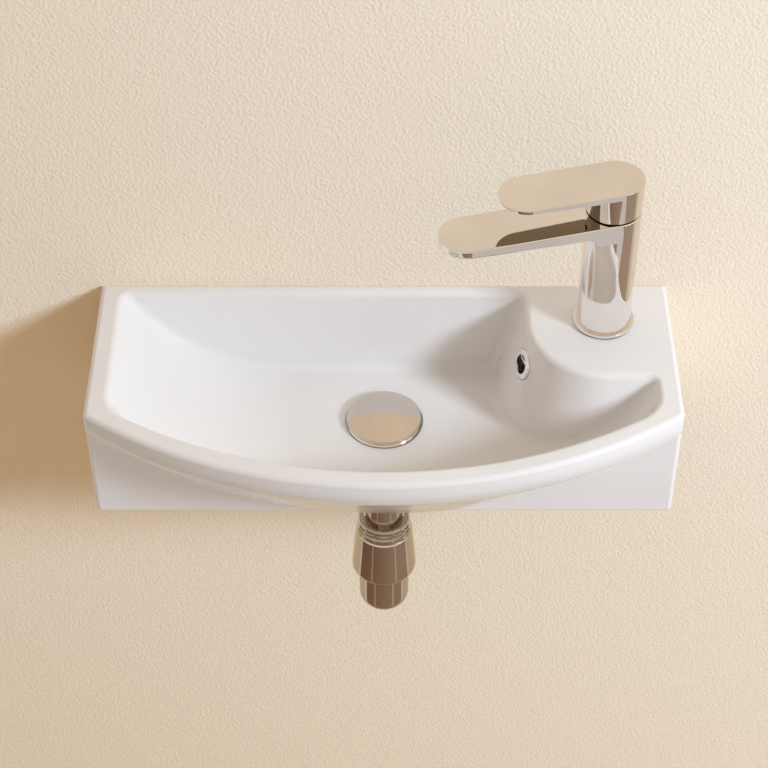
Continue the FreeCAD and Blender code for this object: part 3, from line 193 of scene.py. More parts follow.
class Effects:
    """Builds each shared effect once, as a node group.

    Attributes:
        TONE_SPAN: Noise over which the tone drifts from dark to light.
        GLOSS_SPAN: Noise over which the roughness drifts from smooth to rough.
        GLOSS_FINER: How much finer the roughness drifts than the tone.
        WIPES: Turn and stretch of each direction of wipe marks.
        WIPE_SPAN: Noise over which a wipe mark starts to show.
        RING_INSIDE: Distances from a drop's middle over which its ring starts.
        RING_OUTSIDE: Distances over which its ring ends.
        PATCH_SPAN: Noise over which a patch of drops starts to show.
        PATCH_WIDER: Lumps of that noise for each drop.
        GROOVE_DRIFT: Changes of the grooves' depth for each groove.
        GROOVE_SPAN: Noise over which a groove is worn.
        PIT_WIDER: Pits for each grain.
        PIT_SPAN: Distances from a pit's middle over which it ends.
        GRAIN_ROUGHNESS: How strong the finer layers of the grain are.
    """

    TONE_SPAN: Span = (0.3, 0.7)
    GLOSS_SPAN: Span = (0.35, 0.75)
    GLOSS_FINER = 2.7
    WIPES: tuple[tuple[float, Place], ...] = ((0.4, (1.0, 0.04, 1.0)), (2.1, (0.04, 1.0, 1.0)))
    WIPE_SPAN: Span = (0.60, 0.72)
    RING_INSIDE: Span = (0.16, 0.24)
    RING_OUTSIDE: Span = (0.24, 0.30)
    PATCH_SPAN: Span = (0.55, 0.70)
    PATCH_WIDER = 0.12
    GROOVE_DRIFT = 0.37
    GROOVE_SPAN: Span = (0.4, 0.65)
    PIT_WIDER = 0.35
    PIT_SPAN: Span = (0.05, 0.20)
    GRAIN_ROUGHNESS = 0.6

    def __init__(self) -> None:
        """Starts with no groups built."""
        self.built: dict[Effect, bpy.types.NodeTree] = {}
        self.makers: dict[Effect, Callable[[bpy.types.NodeTree], None]] = {
            Effect.DRIFT: self.drift,
            Effect.HAIRLINES: self.hairlines,
            Effect.WATER_MARKS: self.water_marks,
            Effect.LATHE: self.lathe,
            Effect.GRAIN: self.grain,
        }

    def place(self, tree: Tree, effect: Effect, **feeds: Any) -> Any:
        """Puts an effect into a material.

        Args:
            tree: The material's tree.
            effect: The effect wanted.
            feeds: The effect's inputs by name.

        Returns:
            The effect's outputs.
        """
        if effect not in self.built:
            group = bpy.data.node_groups.new(effect.value, "ShaderNodeTree")
            self.makers[effect](group)
            self.built[effect] = group
        node = tree.add("ShaderNodeGroup", node_tree=self.built[effect])
        for name, value in feeds.items():
            tree.feed(node.inputs[name], value)
        return node.outputs

    @staticmethod
    def sockets(group: bpy.types.NodeTree, inputs: dict[str, str],
                outputs: dict[str, str]) -> tuple[Tree, Any, Any]:
        """Opens a group with its sockets.

        Args:
            group: The new group.
            inputs: Kind of each input by name.
            outputs: Kind of each output by name.

        Returns:
            The group's tree, its inputs as sockets and the sockets that its results go to.
        """
        for name, kind in inputs.items():
            group.interface.new_socket(name, in_out="INPUT", socket_type="NodeSocket" + kind)
        for name, kind in outputs.items():
            group.interface.new_socket(name, in_out="OUTPUT", socket_type="NodeSocket" + kind)
        tree = Tree(group)
        return tree, tree.add("NodeGroupInput").outputs, tree.add("NodeGroupOutput").inputs

    def drift(self, group: bpy.types.NodeTree) -> None:
        """Colour and roughness that wander slowly over a surface.

        Args:
            group: The new group.
        """
        inputs = {"Vector": "Vector", "Scale": "Float", "Dark": "Color", "Light": "Color",
                  "Smooth": "Float", "Rough": "Float"}
        tree, given, out = self.sockets(group, inputs, {"Colour": "Color", "Roughness": "Float"})
        share = tree.spread(tree.noise(given["Vector"], given["Scale"], 3.0), self.TONE_SPAN)
        tree.feed(out["Colour"], tree.mix(share, given["Dark"], given["Light"]))
        finer = tree.maths("MULTIPLY", given["Scale"], self.GLOSS_FINER)
        gloss = tree.noise(given["Vector"], finer, 4.0)
        tree.feed(out["Roughness"], tree.spread(gloss, self.GLOSS_SPAN, given["Smooth"], given["Rough"]))

    def hairlines(self, group: bpy.types.NodeTree) -> None:
        """Faint straight wipe marks in two directions.

        Args:
            group: The new group.
        """
        tree, given, out = self.sockets(group, {"Vector": "Vector", "Scale": "Float"}, {"Mask": "Float"})
        marks = []
        for turn, stretch in self.WIPES:
            feeds = {"Vector": given["Vector"], "Rotation": (turn, turn / 2, turn), "Scale": stretch}
            way = tree.add("ShaderNodeMapping", feeds).outputs[0]
            marks.append(tree.spread(tree.noise(way, given["Scale"], 2.0), self.WIPE_SPAN))
        tree.feed(out["Mask"], tree.maths("MAXIMUM", *marks))

    def water_marks(self, group: bpy.types.NodeTree) -> None:
        """Thin rings left by dried drops, in scattered patches.

        Args:
            group: The new group.
        """
        tree, given, out = self.sockets(group, {"Vector": "Vector", "Scale": "Float"}, {"Mask": "Float"})
        feeds = {"Vector": given["Vector"], "Scale": given["Scale"], "Randomness": 1.0}
        away = tree.add("ShaderNodeTexVoronoi", feeds).outputs["Distance"]
        inner = tree.spread(away, self.RING_INSIDE)
        outer = tree.spread(away, self.RING_OUTSIDE, 1.0, 0.0)
        wide = tree.maths("MULTIPLY", given["Scale"], self.PATCH_WIDER)
        where = tree.spread(tree.noise(given["Vector"], wide, 1.0), self.PATCH_SPAN)
        rings = tree.maths("MULTIPLY", inner, outer)
        tree.feed(out["Mask"], tree.maths("MULTIPLY", rings, where))

    def lathe(self, group: bpy.types.NodeTree) -> None:
        """Fine turning grooves round the Z axis of the given vector.

        Args:
            group: The new group.
        """
        outputs = {"Height": "Float", "Mask": "Float"}
        tree, given, out = self.sockets(group, {"Vector": "Vector", "Pitch": "Float"}, outputs)
        x, y, z = tree.parts(given["Vector"])
        square = tree.maths("ADD", tree.maths("MULTIPLY", x, x), tree.maths("MULTIPLY", y, y))
        along = tree.maths("ADD", tree.maths("SQRT", square), z)
        turns = tree.maths("DIVIDE", along, given["Pitch"])
        wave = tree.maths("SINE", tree.maths("MULTIPLY", turns, 2 * math.pi))
        feeds = {"W": turns, "Scale": self.GROOVE_DRIFT}
        depth = tree.add("ShaderNodeTexNoise", feeds, noise_dimensions="1D").outputs["Fac"]
        tree.feed(out["Height"], tree.maths("MULTIPLY", wave, depth))
        tree.feed(out["Mask"], tree.spread(depth, self.GROOVE_SPAN))

    def grain(self, group: bpy.types.NodeTree) -> None:
        """Small bumps of a moulded, cast or unglazed surface.

        Args:
            group: The new group.
        """
        outputs = {"Height": "Float", "Mask": "Float"}
        tree, given, out = self.sockets(group, {"Vector": "Vector", "Scale": "Float"}, outputs)
        lumps = tree.noise(given["Vector"], given["Scale"], 6.0, self.GRAIN_ROUGHNESS)
        feeds = {"Vector": given["Vector"], "Scale": tree.maths("MULTIPLY", given["Scale"], self.PIT_WIDER)}
        away = tree.add("ShaderNodeTexVoronoi", feeds).outputs["Distance"]
        hole = tree.spread(away, self.PIT_SPAN)
        tree.feed(out["Height"], tree.maths("MULTIPLY", lumps, hole))
        tree.feed(out["Mask"], hole)


@dataclass(frozen=True)
class Finish:
    """What every finish has: a name, two tones and a range of roughness.

    Attributes:
        name: Name of the material.
        dark: Darker tone.
        light: Lighter tone.
        smooth: Lowest roughness.
        rough: Highest roughness.
        patch: How many patches of tone there are per metre.
    """

    name: str
    dark: Colour
    light: Colour
    smooth: float
    rough: float
    patch: float = 20.0

    def begin(self, effects: Effects) -> tuple[bpy.types.Material, Tree, Any, Any, bpy.types.Node]:
        """Starts the material with its drifting tones.

        Args:
            effects: The shared effects.

        Returns:
            The material, its tree, the coordinate outputs, the drift's outputs and the shader.
        """
        material = bpy.data.materials.new(self.name)
        material.use_nodes = True
        tree = Tree(material.node_tree)
        place = tree.add("ShaderNodeTexCoord").outputs
        drift = effects.place(tree, Effect.DRIFT, Vector=place["Object"], Scale=self.patch,
                              Dark=opaque(self.dark), Light=opaque(self.light), Smooth=self.smooth,
                              Rough=self.rough)
        feeds = {"Base Color": drift["Colour"], "Roughness": drift["Roughness"]}
        shader = tree.add("ShaderNodeBsdfPrincipled", feeds)
        tree.add("ShaderNodeOutputMaterial", {"Surface": shader.outputs[0]})
        return material, tree, place, drift, shader

    @staticmethod
    def bump(tree: Tree, shader: bpy.types.Node, height: Any, depth: float) -> None:
        """Gives a shader a bump.

        Args:
            tree: The material's tree.
            shader: The shader.
            height: Height over the surface, from 0 to 1.
            depth: Real depth of that height in metres.
        """
        bump = tree.add("ShaderNodeBump", {"Strength": 1.0, "Distance": depth, "Height": height})
        tree.feed(shader.inputs["Normal"], bump.outputs[0])

    def build(self, effects: Effects) -> bpy.types.Material:
        """The finished material."""
        raise NotImplementedError


@dataclass(frozen=True)
class Glaze(Finish):
    """White glaze over fired clay, bare on the wall face, the foot and inside the skirt.

    Attributes:
        clay_dark: Darker tone of the bare clay.
        clay_light: Lighter tone of the bare clay.
        clay_rough: Roughness of the bare clay.
        clay_grains: Grains of the bare clay per metre.
        wall_band: How far in front of the wall the clay stays bare.
        foot_band: How far above the foot the clay stays bare.
        level_span: How far a face may point up or down where the bare inside ends.
        ripple: Ripples of the glaze per metre.
        ripple_depth: Height of those ripples.
        marks: Dried drops per metre.
        mark_rough: Roughness that a dried drop adds.
        ior: Index of refraction of the glaze.
    """

    clay_dark: Colour = (0.60, 0.54, 0.46)
    clay_light: Colour = (0.72, 0.66, 0.58)
    clay_rough: float = 0.85
    clay_grains: float = 900.0
    wall_band: float = 0.6 * MM
    foot_band: float = 0.5 * MM
    level_span: Span = (-0.05, 0.05)
    ripple: float = 45.0
    ripple_depth: float = 0.03 * MM
    marks: float = 160.0
    mark_rough: float = 0.05
    ior: float = 1.52

    def build(self, effects: Effects) -> bpy.types.Material:
        """Makes the glaze and the clay where it is bare.

        Args:
            effects: The shared effects.

        Returns:
            The finished material.
        """
        material, tree, place, drift, shader = self.begin(effects)
        bare = self.bare_mask(tree, place)
        clay = effects.place(tree, Effect.GRAIN, Vector=place["Object"], Scale=self.clay_grains)
        clay_tone = tree.mix(clay["Mask"], opaque(self.clay_dark), opaque(self.clay_light))
        tree.feed(shader.inputs["Base Color"], tree.mix(bare, drift["Colour"], clay_tone))
        drops = effects.place(tree, Effect.WATER_MARKS, Vector=place["Object"], Scale=self.marks)
        worn = tree.maths("MULTIPLY_ADD", drops["Mask"], self.mark_rough, drift["Roughness"])
        tree.feed(shader.inputs["Roughness"], tree.blend(bare, worn, self.clay_rough))
        ripples = tree.noise(place["Object"], self.ripple, 1.0)
        self.bump(tree, shader, tree.blend(bare, ripples, clay["Height"]), self.ripple_depth)
        shader.inputs["IOR"].default_value = self.ior
        return material

    def bare_mask(self, tree: Tree, place: Any) -> bpy.types.NodeSocket:
        """Where the clay has no glaze.

        Args:
            tree: The material's tree.
            place: The coordinate outputs.

        Returns:
            A mask that is 1 on bare clay.
        """
        low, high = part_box("basin_body")
        x, y, z = tree.parts(place["Object"])
        upward = tree.parts(place["Normal"])[2]
        wall = tree.maths("GREATER_THAN", y, high.y - self.wall_band)
        foot = tree.maths("LESS_THAN", z, low.z + self.foot_band)
        below = tree.maths("LESS_THAN", z, high.z - Basin.deck)
        behind = tree.maths("GREATER_THAN", y, low.y + Basin.bow + Basin.skirt_reach)
        within = tree.maths("LESS_THAN", tree.maths("ABSOLUTE", x), high.x - Basin.skirt_reach)
        hidden = tree.maths("MULTIPLY", tree.maths("MULTIPLY", below, behind), within)
        inside = tree.maths("MULTIPLY", hidden, tree.spread(upward, self.level_span, 1.0, 0.0))
        return tree.maths("MAXIMUM", tree.maths("MAXIMUM", wall, foot), inside)


@dataclass(frozen=True)
class Plate(Finish):
    """Polished chrome plate with faint wipe marks and dried drops, and where asked, painted shade on the
    faces that point down.

    Attributes:
        wave: Slow waves of the polish per metre.
        wave_depth: Height of those waves.
        wipes: Wipe marks per metre.
        wipe_rough: Roughness that a wipe mark adds.
        drops: Dried drops per metre.
        drop_rough: Roughness that a dried drop adds.
        down_shade: Painted shade, a dark tone on the faces that point down, which are also rougher.
        under_rough: Roughness of those faces.
        under_span: How far down a face points where that painted shade ends.
    """

    wave: float = 18.0
    wave_depth: float = 0.02 * MM
    wipes: float = 900.0
    wipe_rough: float = 0.03
    drops: float = 240.0
    drop_rough: float = 0.06
    down_shade: Colour | None = None
    under_rough: float = 0.35
    under_span: Span = (-0.98, -0.85)

    def build(self, effects: Effects) -> bpy.types.Material:
        """Makes the chrome.

        Args:
            effects: The shared effects.

        Returns:
            The finished material.
        """
        material, tree, place, drift, shader = self.begin(effects)
        shader.inputs["Metallic"].default_value = 1.0
        wipes = effects.place(tree, Effect.HAIRLINES, Vector=place["Object"], Scale=self.wipes)
        drops = effects.place(tree, Effect.WATER_MARKS, Vector=place["Object"], Scale=self.drops)
        rough = tree.maths("MULTIPLY_ADD", wipes["Mask"], self.wipe_rough, drift["Roughness"])
        rough = tree.maths("MULTIPLY_ADD", drops["Mask"], self.drop_rough, rough)
        # Painted shade: faces that point down get a dark tone and more roughness.
        if self.down_shade:
            down = tree.spread(tree.parts(place["Normal"])[2], self.under_span, 1.0, 0.0)
            tone = tree.mix(down, drift["Colour"], opaque(self.down_shade))
            tree.feed(shader.inputs["Base Color"], tone)
            rough = tree.blend(down, rough, self.under_rough)
        tree.feed(shader.inputs["Roughness"], rough)
        self.bump(tree, shader, tree.noise(place["Object"], self.wave, 0.0), self.wave_depth)
        return material


@dataclass(frozen=True)
class Turned(Finish):
    """Bare turned metal, with grooves round an upright axis.

    Attributes:
        axis: A point on the axis, in the part's frame.
        pitch: Distance between grooves.
        groove: Depth of a groove.
        groove_rough: Roughness that a worn groove adds.
    """

    axis: Place = (0.0, 0.0, 0.0)
    pitch: float = 0.35 * MM
    groove: float = 0.02 * MM
    groove_rough: float = 0.12

    def build(self, effects: Effects) -> bpy.types.Material:
        """Makes the turned metal.

        Args:
            effects: The shared effects.

        Returns:
            The finished material.
        """
        material, tree, place, drift, shader = self.begin(effects)
        shader.inputs["Metallic"].default_value = 1.0
        back = tuple(-value for value in self.axis)
        centred = tree.add("ShaderNodeMapping", {"Vector": place["Object"], "Location": back})
        lines = effects.place(tree, Effect.LATHE, Vector=centred.outputs[0], Pitch=self.pitch)
        rough = tree.maths("MULTIPLY_ADD", lines["Mask"], self.groove_rough, drift["Roughness"])
        tree.feed(shader.inputs["Roughness"], rough)
        self.bump(tree, shader, lines["Height"], self.groove)
        return material


@dataclass(frozen=True)
class Moulded(Finish):
    """Moulded rubber or plastic, or ground ceramic, with a fine grain.

    Attributes:
        grains: Grains per metre.
        grain_depth: Height of the grain.
        pit_rough: Roughness that a pit has more than the face around it.
    """

    grains: float = 1500.0
    grain_depth: float = 0.05 * MM
    pit_rough: float = 0.06

    def build(self, effects: Effects) -> bpy.types.Material:
        """Makes the moulded surface.

        Args:
            effects: The shared effects.

        Returns:
            The finished material.
        """
        material, tree, place, drift, shader = self.begin(effects)
        grain = effects.place(tree, Effect.GRAIN, Vector=place["Object"], Scale=self.grains)
        rough = tree.maths("MULTIPLY_ADD", grain["Mask"], -self.pit_rough, drift["Roughness"])
        tree.feed(shader.inputs["Roughness"], rough)
        self.bump(tree, shader, grain["Height"], self.grain_depth)
        return material


CHROME = Plate("polished_chrome", (0.83, 0.805, 0.78), (0.89, 0.865, 0.84), 0.03, 0.06)
# Painted shade and painted brown reflection: a darker, warmer copy of the tap's chrome for the trap, plug cap
# and rosette.
SHADED_CHROME = Plate("shaded_chrome", (0.69, 0.63, 0.57), (0.75, 0.69, 0.63), 0.03, 0.07)
# The lever's chrome carries painted shade on its downward faces.
LEVER_CHROME = replace(CHROME, name="lever_chrome", down_shade=(0.24, 0.19, 0.14))
GLAZE = Glaze("white_glaze", (0.83, 0.815, 0.81), (0.87, 0.855, 0.85), 0.07, 0.14, patch=7.0)
RUBBER = Moulded("black_rubber", (0.018, 0.018, 0.019), (0.045, 0.044, 0.043), 0.55, 0.75, patch=60.0)
PLASTIC = Moulded("white_plastic", (0.66, 0.65, 0.62), (0.78, 0.77, 0.74), 0.38, 0.55, patch=50.0)
DISC = Moulded("ground_ceramic", (0.70, 0.66, 0.58), (0.82, 0.79, 0.72), 0.20, 0.34, patch=80.0,
               grain_depth=0.01 * MM)
BRASS = Turned("turned_brass", (0.55, 0.38, 0.17), (0.68, 0.50, 0.25), 0.22, 0.34)
STEEL = Turned("spring_steel", (0.42, 0.42, 0.43), (0.58, 0.58, 0.59), 0.25, 0.38)


class Paint:
    """Keeps one material for each finish and gives it to pieces."""

    def __init__(self) -> None:
        """Starts with no material made."""
        self.effects = Effects()
        self.made: dict[Finish, bpy.types.Material] = {}

    def coat(self, piece: bpy.types.Object, finish: Finish) -> None:
        """Gives a piece one finish in place of what it has.

        Args:
            piece: The piece.
            finish: Its finish.
        """
        if finish not in self.made:
            self.made[finish] = finish.build(self.effects)
        if not piece.material_slots:
            piece.data.materials.append(self.made[finish])
        for slot in piece.material_slots:
            slot.material = self.made[finish]
        LOG.info("%s has finish %s", piece.name, finish.name)

    def coat_nodes(self, names: Sequence[str], finish: Finish) -> None:
        """Gives several solids one finish."""
        for name in names:
            self.coat(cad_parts[name], finish)


def axis_of(node: str) -> Vector:
    """Middle of a solid's box in plan, at height 0."""
    low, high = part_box(node)
    return Vector(((low.x + high.x) / 2, (low.y + high.y) / 2, 0.0))


def new_piece(name: str, mesh: bmesh.types.BMesh) -> bpy.types.Object:
    """Makes an object of a bmesh.

    Args:
        name: Name of the piece.
        mesh: Its mesh, which is freed.

    Returns:
        The linked object.
    """
    data = bpy.data.meshes.new(name)
    mesh.to_mesh(data)
    mesh.free()
    data.shade_smooth()
    data.set_sharp_from_angle(angle=SMOOTH_BELOW)
    piece = bpy.data.objects.new(name, data)
    bpy.context.scene.collection.objects.link(piece)
    return piece


@dataclass
class Thread:
    """A helical thread that shows on a rod.

    Attributes:
        name: Name of the piece.
        rod: The solid that carries the thread.
        radius: Radius of the rod.
        low: Height where the thread starts.
        high: Height where it ends.
        pitch: Rise of one turn.
        proud: How far the crests stand out.
        steps: Flats round one turn.
        outline: Points of one turn: the share of the pitch and the share of the crest's height.
    """

    name: str
    rod: str
    radius: float
    low: float
    high: float
    pitch: float
    proud: float
    steps: int = 72
    outline: tuple[Span, ...] = ((0.0, 0.0), (0.30, 0.0), (0.55, 1.0), (0.75, 1.0))

    def build(self) -> bpy.types.Object:
        """Spins a zigzag round the rod, one pitch up in each turn.

        Returns:
            The thread's object.
        """
        middle = axis_of(self.rod)
        mesh = bmesh.new()
        turns = int((self.high - self.low) / self.pitch) - 1
        line = []
        for turn in range(turns):
            base = self.low + turn * self.pitch
            for up, out in self.outline:
                reach = self.radius + out * self.proud
                line.append(mesh.verts.new(middle + Vector((reach, 0.0, base + up * self.pitch))))
        edges = [mesh.edges.new(pair) for pair in zip(line, line[1:])]
        rise = Vector((0.0, 0.0, self.pitch / self.steps))
        bmesh.ops.spin(mesh, geom=line + edges, cent=middle, axis=(0, 0, 1), dvec=rise,
                       angle=2 * math.pi, steps=self.steps, use_merge=False)
        bmesh.ops.remove_doubles(mesh, verts=mesh.verts, dist=MERGE_BELOW)
        bmesh.ops.recalc_face_normals(mesh, faces=mesh.faces)
        return new_piece(self.name, mesh)


@dataclass
class Basin:
    """The ceramic basin and the trim ring of its overflow.

    Attributes:
        deck: How far below the rim the bare inside of the skirt starts.
        bow: How far the front bows out.
        skirt_reach: How far in from the outside the bare inside of the skirt starts.
    """

    deck: float = 5 * MM
    bow: float = 77 * MM
    skirt_reach: float = 6 * MM

    def dress(self, paint: Paint) -> None:
        """Gives the basin its glaze and the ring its chrome."""
        paint.coat_nodes(["basin_body"], GLAZE)
        paint.coat_nodes(["overflow_ring"], CHROME)


@dataclass
class Waste:
    """The push-open waste below the bowl.

    Attributes:
        thread_pitch: Pitch of the thread on its tail.
        thread_proud: How far the thread's crests stand out.
    """

    thread_pitch: float = 1.8 * MM
    thread_proud: float = 0.45 * MM

    def dress(self, paint: Paint) -> None:
        """Gives every piece of the waste its finish.

        Args:
            paint: The materials.
        """
        middle = tuple(axis_of("waste_body"))
        paint.coat_nodes(["waste_body"], CHROME)
        paint.coat_nodes(["waste_plug_cap"], SHADED_CHROME)
        paint.coat_nodes(["waste_locknut", "waste_plug_stem"], replace(BRASS, axis=middle))
        paint.coat_nodes(["waste_plug_spring"], replace(STEEL, axis=middle))
        paint.coat_nodes(["waste_plug_guide", "waste_slip_washer"], PLASTIC)
        paint.coat_nodes(["waste_plug_seal", "waste_top_gasket", "waste_bottom_gasket"], RUBBER)
        self.add_thread(paint)

    def add_thread(self, paint: Paint) -> None:
        """Cuts the thread on the free stretch of the tail.

        Args:
            paint: The materials.
        """
        nut_low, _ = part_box("waste_locknut")
        _, coupling_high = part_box("trap_coupling_nut")
        thread = Thread("waste_thread", "waste_slip_washer", self.tail_radius(), coupling_high.z,
                        nut_low.z, self.thread_pitch, self.thread_proud).build()
        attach(thread, "fixed")
        paint.coat(thread, CHROME)

    @staticmethod
    def tail_radius() -> float:
        """Measures the tail at its lower end.

        Returns:
            Its outer radius.
        """
        low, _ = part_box("waste_body")
        middle = axis_of("waste_body")
        ends = [v.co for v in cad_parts["waste_body"].data.vertices if v.co.z < low.z + MM]
        return max((Vector((spot.x, spot.y, 0.0)) - middle).length for spot in ends)


@dataclass
class Trap:
    """The bottle trap, its tube and its way into the wall."""

    def dress(self, paint: Paint) -> None:
        """Gives every piece of the trap its finish."""
        paint.coat_nodes(["trap_inlet_tube", "trap_coupling_nut", "trap_top_nut", "trap_body", "trap_cup",
                          "trap_outlet_pipe", "trap_outlet_nut", "wall_rosette"], SHADED_CHROME)
        paint.coat_nodes(["trap_coupling_washer", "trap_top_seal", "trap_cup_seal",
                          "trap_outlet_seal"], RUBBER)


@dataclass
class Tap:
    """The mixer tap on the ledge, with its cartridge, its aerator and its fixing.

    Attributes:
        stud_pitch: Pitch of the stud's thread.
        stud_proud: How far the thread's crests stand out.
        stud_steps: Flats round one turn of that thread.
    """

    stud_pitch: float = 1.25 * MM
    stud_proud: float = 0.3 * MM
    stud_steps: int = 32

    def dress(self, paint: Paint) -> None:
        """Gives every piece of the tap its finish.

        Args:
            paint: The materials.
        """
        middle = tuple(axis_of("cartridge_nut"))
        brass = replace(BRASS, name="nut_brass", axis=middle)
        steel = replace(STEEL, name="stud_steel", axis=middle)
        paint.coat_nodes(["tap_body", "tap_base_ring", "aerator_housing"], CHROME)
        paint.coat_nodes(["tap_lever"], LEVER_CHROME)
        paint.coat_nodes(["cartridge_nut", "tap_fixing_nut"], brass)
        paint.coat_nodes(["cartridge_pivot_pin", "cartridge_stem", "tap_stud", "tap_clamp_plate",
                          "tap_lever_screw"], steel)
        paint.coat_nodes(["cartridge_housing", "cartridge_carrier", "aerator_plate"], PLASTIC)
        paint.coat_nodes(["tap_base_gasket", "cartridge_seal", "aerator_seal", "tap_clamp_gasket"], RUBBER)
        paint.coat_nodes(["cartridge_fixed_disc", "cartridge_moving_disc"], DISC)
        self.add_thread(paint, steel)

    def add_thread(self, paint: Paint, steel: Finish) -> None:
        """Cuts the thread on the stud's free end below its nut.

        Args:
            paint: The materials.
            steel: The stud's finish.
        """
        low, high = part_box("tap_stud")
        nut_low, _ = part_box("tap_fixing_nut")
        thread = Thread("stud_thread", "tap_stud", (high.x - low.x) / 2, low.z + self.stud_pitch,
                        nut_low.z, self.stud_pitch, self.stud_proud, self.stud_steps).build()
        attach(thread, "fixed")
        paint.coat(thread, steel)


class Lit(Enum):
    """What a lamp lights."""

    WALL = "wall"
    PART_AND_FLOOR = "part and floor"


@dataclass(frozen=True)
class Lamp:
    """A soft square lamp.

    Attributes:
        name: Its name.
        way: Direction in which its light travels.
        away: Its distance from the basin.
        size: Its side.
        power: Its power.
        colour: Colour of its light.
        lights: What it lights, or nothing where it lights everything.
        shaded_by: The solids that shade it, or none where everything does.
        glint: Whether it shows only as a glint in polished surfaces, where the other lamps don't show.
    """

    name: str
    way: Place
    away: float
    size: float
    power: float
    colour: Colour
    lights: Lit | None = None
    shaded_by: tuple[str, ...] = ()
    glint: bool = False

    def hang(self) -> None:
        """Hangs the lamp in the scene."""
        data = bpy.data.lights.new(self.name, "AREA")
        data.size = self.size
        data.energy = self.power
        data.color = self.colour
        lamp = bpy.data.objects.new(self.name, data)
        way = Vector(self.way).normalized()
        lamp.location = -way * self.away
        lamp.rotation_euler = way.to_track_quat("-Z", "Y").to_euler()
        lamp.visible_glossy = self.glint
        lamp.visible_diffuse = not self.glint
        bpy.context.scene.collection.objects.link(lamp)
        if self.shaded_by:
            shades = [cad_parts[node] for node in self.shaded_by]
            lamp.light_linking.blocker_collection = self.gather("shades", shades)
        if self.lights:
            on_wall = self.lights == Lit.WALL
            meshes = [piece for piece in bpy.data.objects if piece.type == "MESH"]
            lit = [piece for piece in meshes if (piece.name == WALL) == on_wall]
            lamp.light_linking.receiver_collection = self.gather("lights", lit)

    def gather(self, what: str, pieces: Sequence[bpy.types.Object]) -> bpy.types.Collection:
        """Puts pieces into a new collection.

        Args:
            what: What the pieces are to the lamp.
            pieces: The pieces.

        Returns:
            The collection.
        """
        group = bpy.data.collections.new(f"{self.name}_{what}")
        for piece in pieces:
            group.objects.link(piece)
        return group


def stage_sheet(name: str, half: Span, place: Matrix, material: bpy.types.Material) -> bpy.types.Object:
    """Adds a flat sheet of the stage.

    Args:
        name: Its name.
        half: Half its width and half its length.
        place: Where it goes.
        material: Its material.

    Returns:
        The sheet's object.
    """
    mesh = bmesh.new()
    bmesh.ops.create_grid(mesh, x_segments=1, y_segments=1, size=1.0)
    bmesh.ops.scale(mesh, verts=mesh.verts, vec=(*half, 1.0))
    bmesh.ops.transform(mesh, matrix=place, verts=mesh.verts)
    sheet = new_piece(name, mesh)
    sheet.data.materials.append(material)
    return sheet


@dataclass(frozen=True)
class ReflectionCard:
    """A flat glowing sheet that shows only in polished surfaces: a painted reflection, not a lamp.

    Attributes:
        name: Its name.
        middle: Place of its middle.
        half: Half its width and half its length.
        turn: Turn about the upright axis, in degrees.
        left: Glow at its left end.
        right: Glow at its right end, or none where it is as at the left.
    """

    name: str
    middle: Place
    half: Span
    turn: float
    left: Colour
    right: Colour | None = None

    def lay(self) -> None:
        """Lays the card level in the scene."""
        material = bpy.data.materials.new(self.name)
        material.use_nodes = True
        material.cycles.emission_sampling = "NONE"
        tree = Tree(material.node_tree)
        along = tree.parts(tree.add("ShaderNodeTexCoord").outputs["Object"])[0]
        share = tree.spread(along, (self.middle[0] - self.half[0], self.middle[0] + self.half[0]))
        tone = tree.mix(share, opaque(self.left), opaque(self.right or self.left))
        glow = tree.add("ShaderNodeEmission", {"Color": tone})
        tree.add("ShaderNodeOutputMaterial", {"Surface": glow.outputs[0]})
        spot = Matrix.Translation(self.middle) @ Matrix.Rotation(math.radians(self.turn), 4, "Z")
        sheet = stage_sheet(self.name, self.half, spot, material)
        sheet.visible_camera = False
        sheet.visible_diffuse = False
        sheet.visible_transmission = False
        sheet.visible_shadow = False


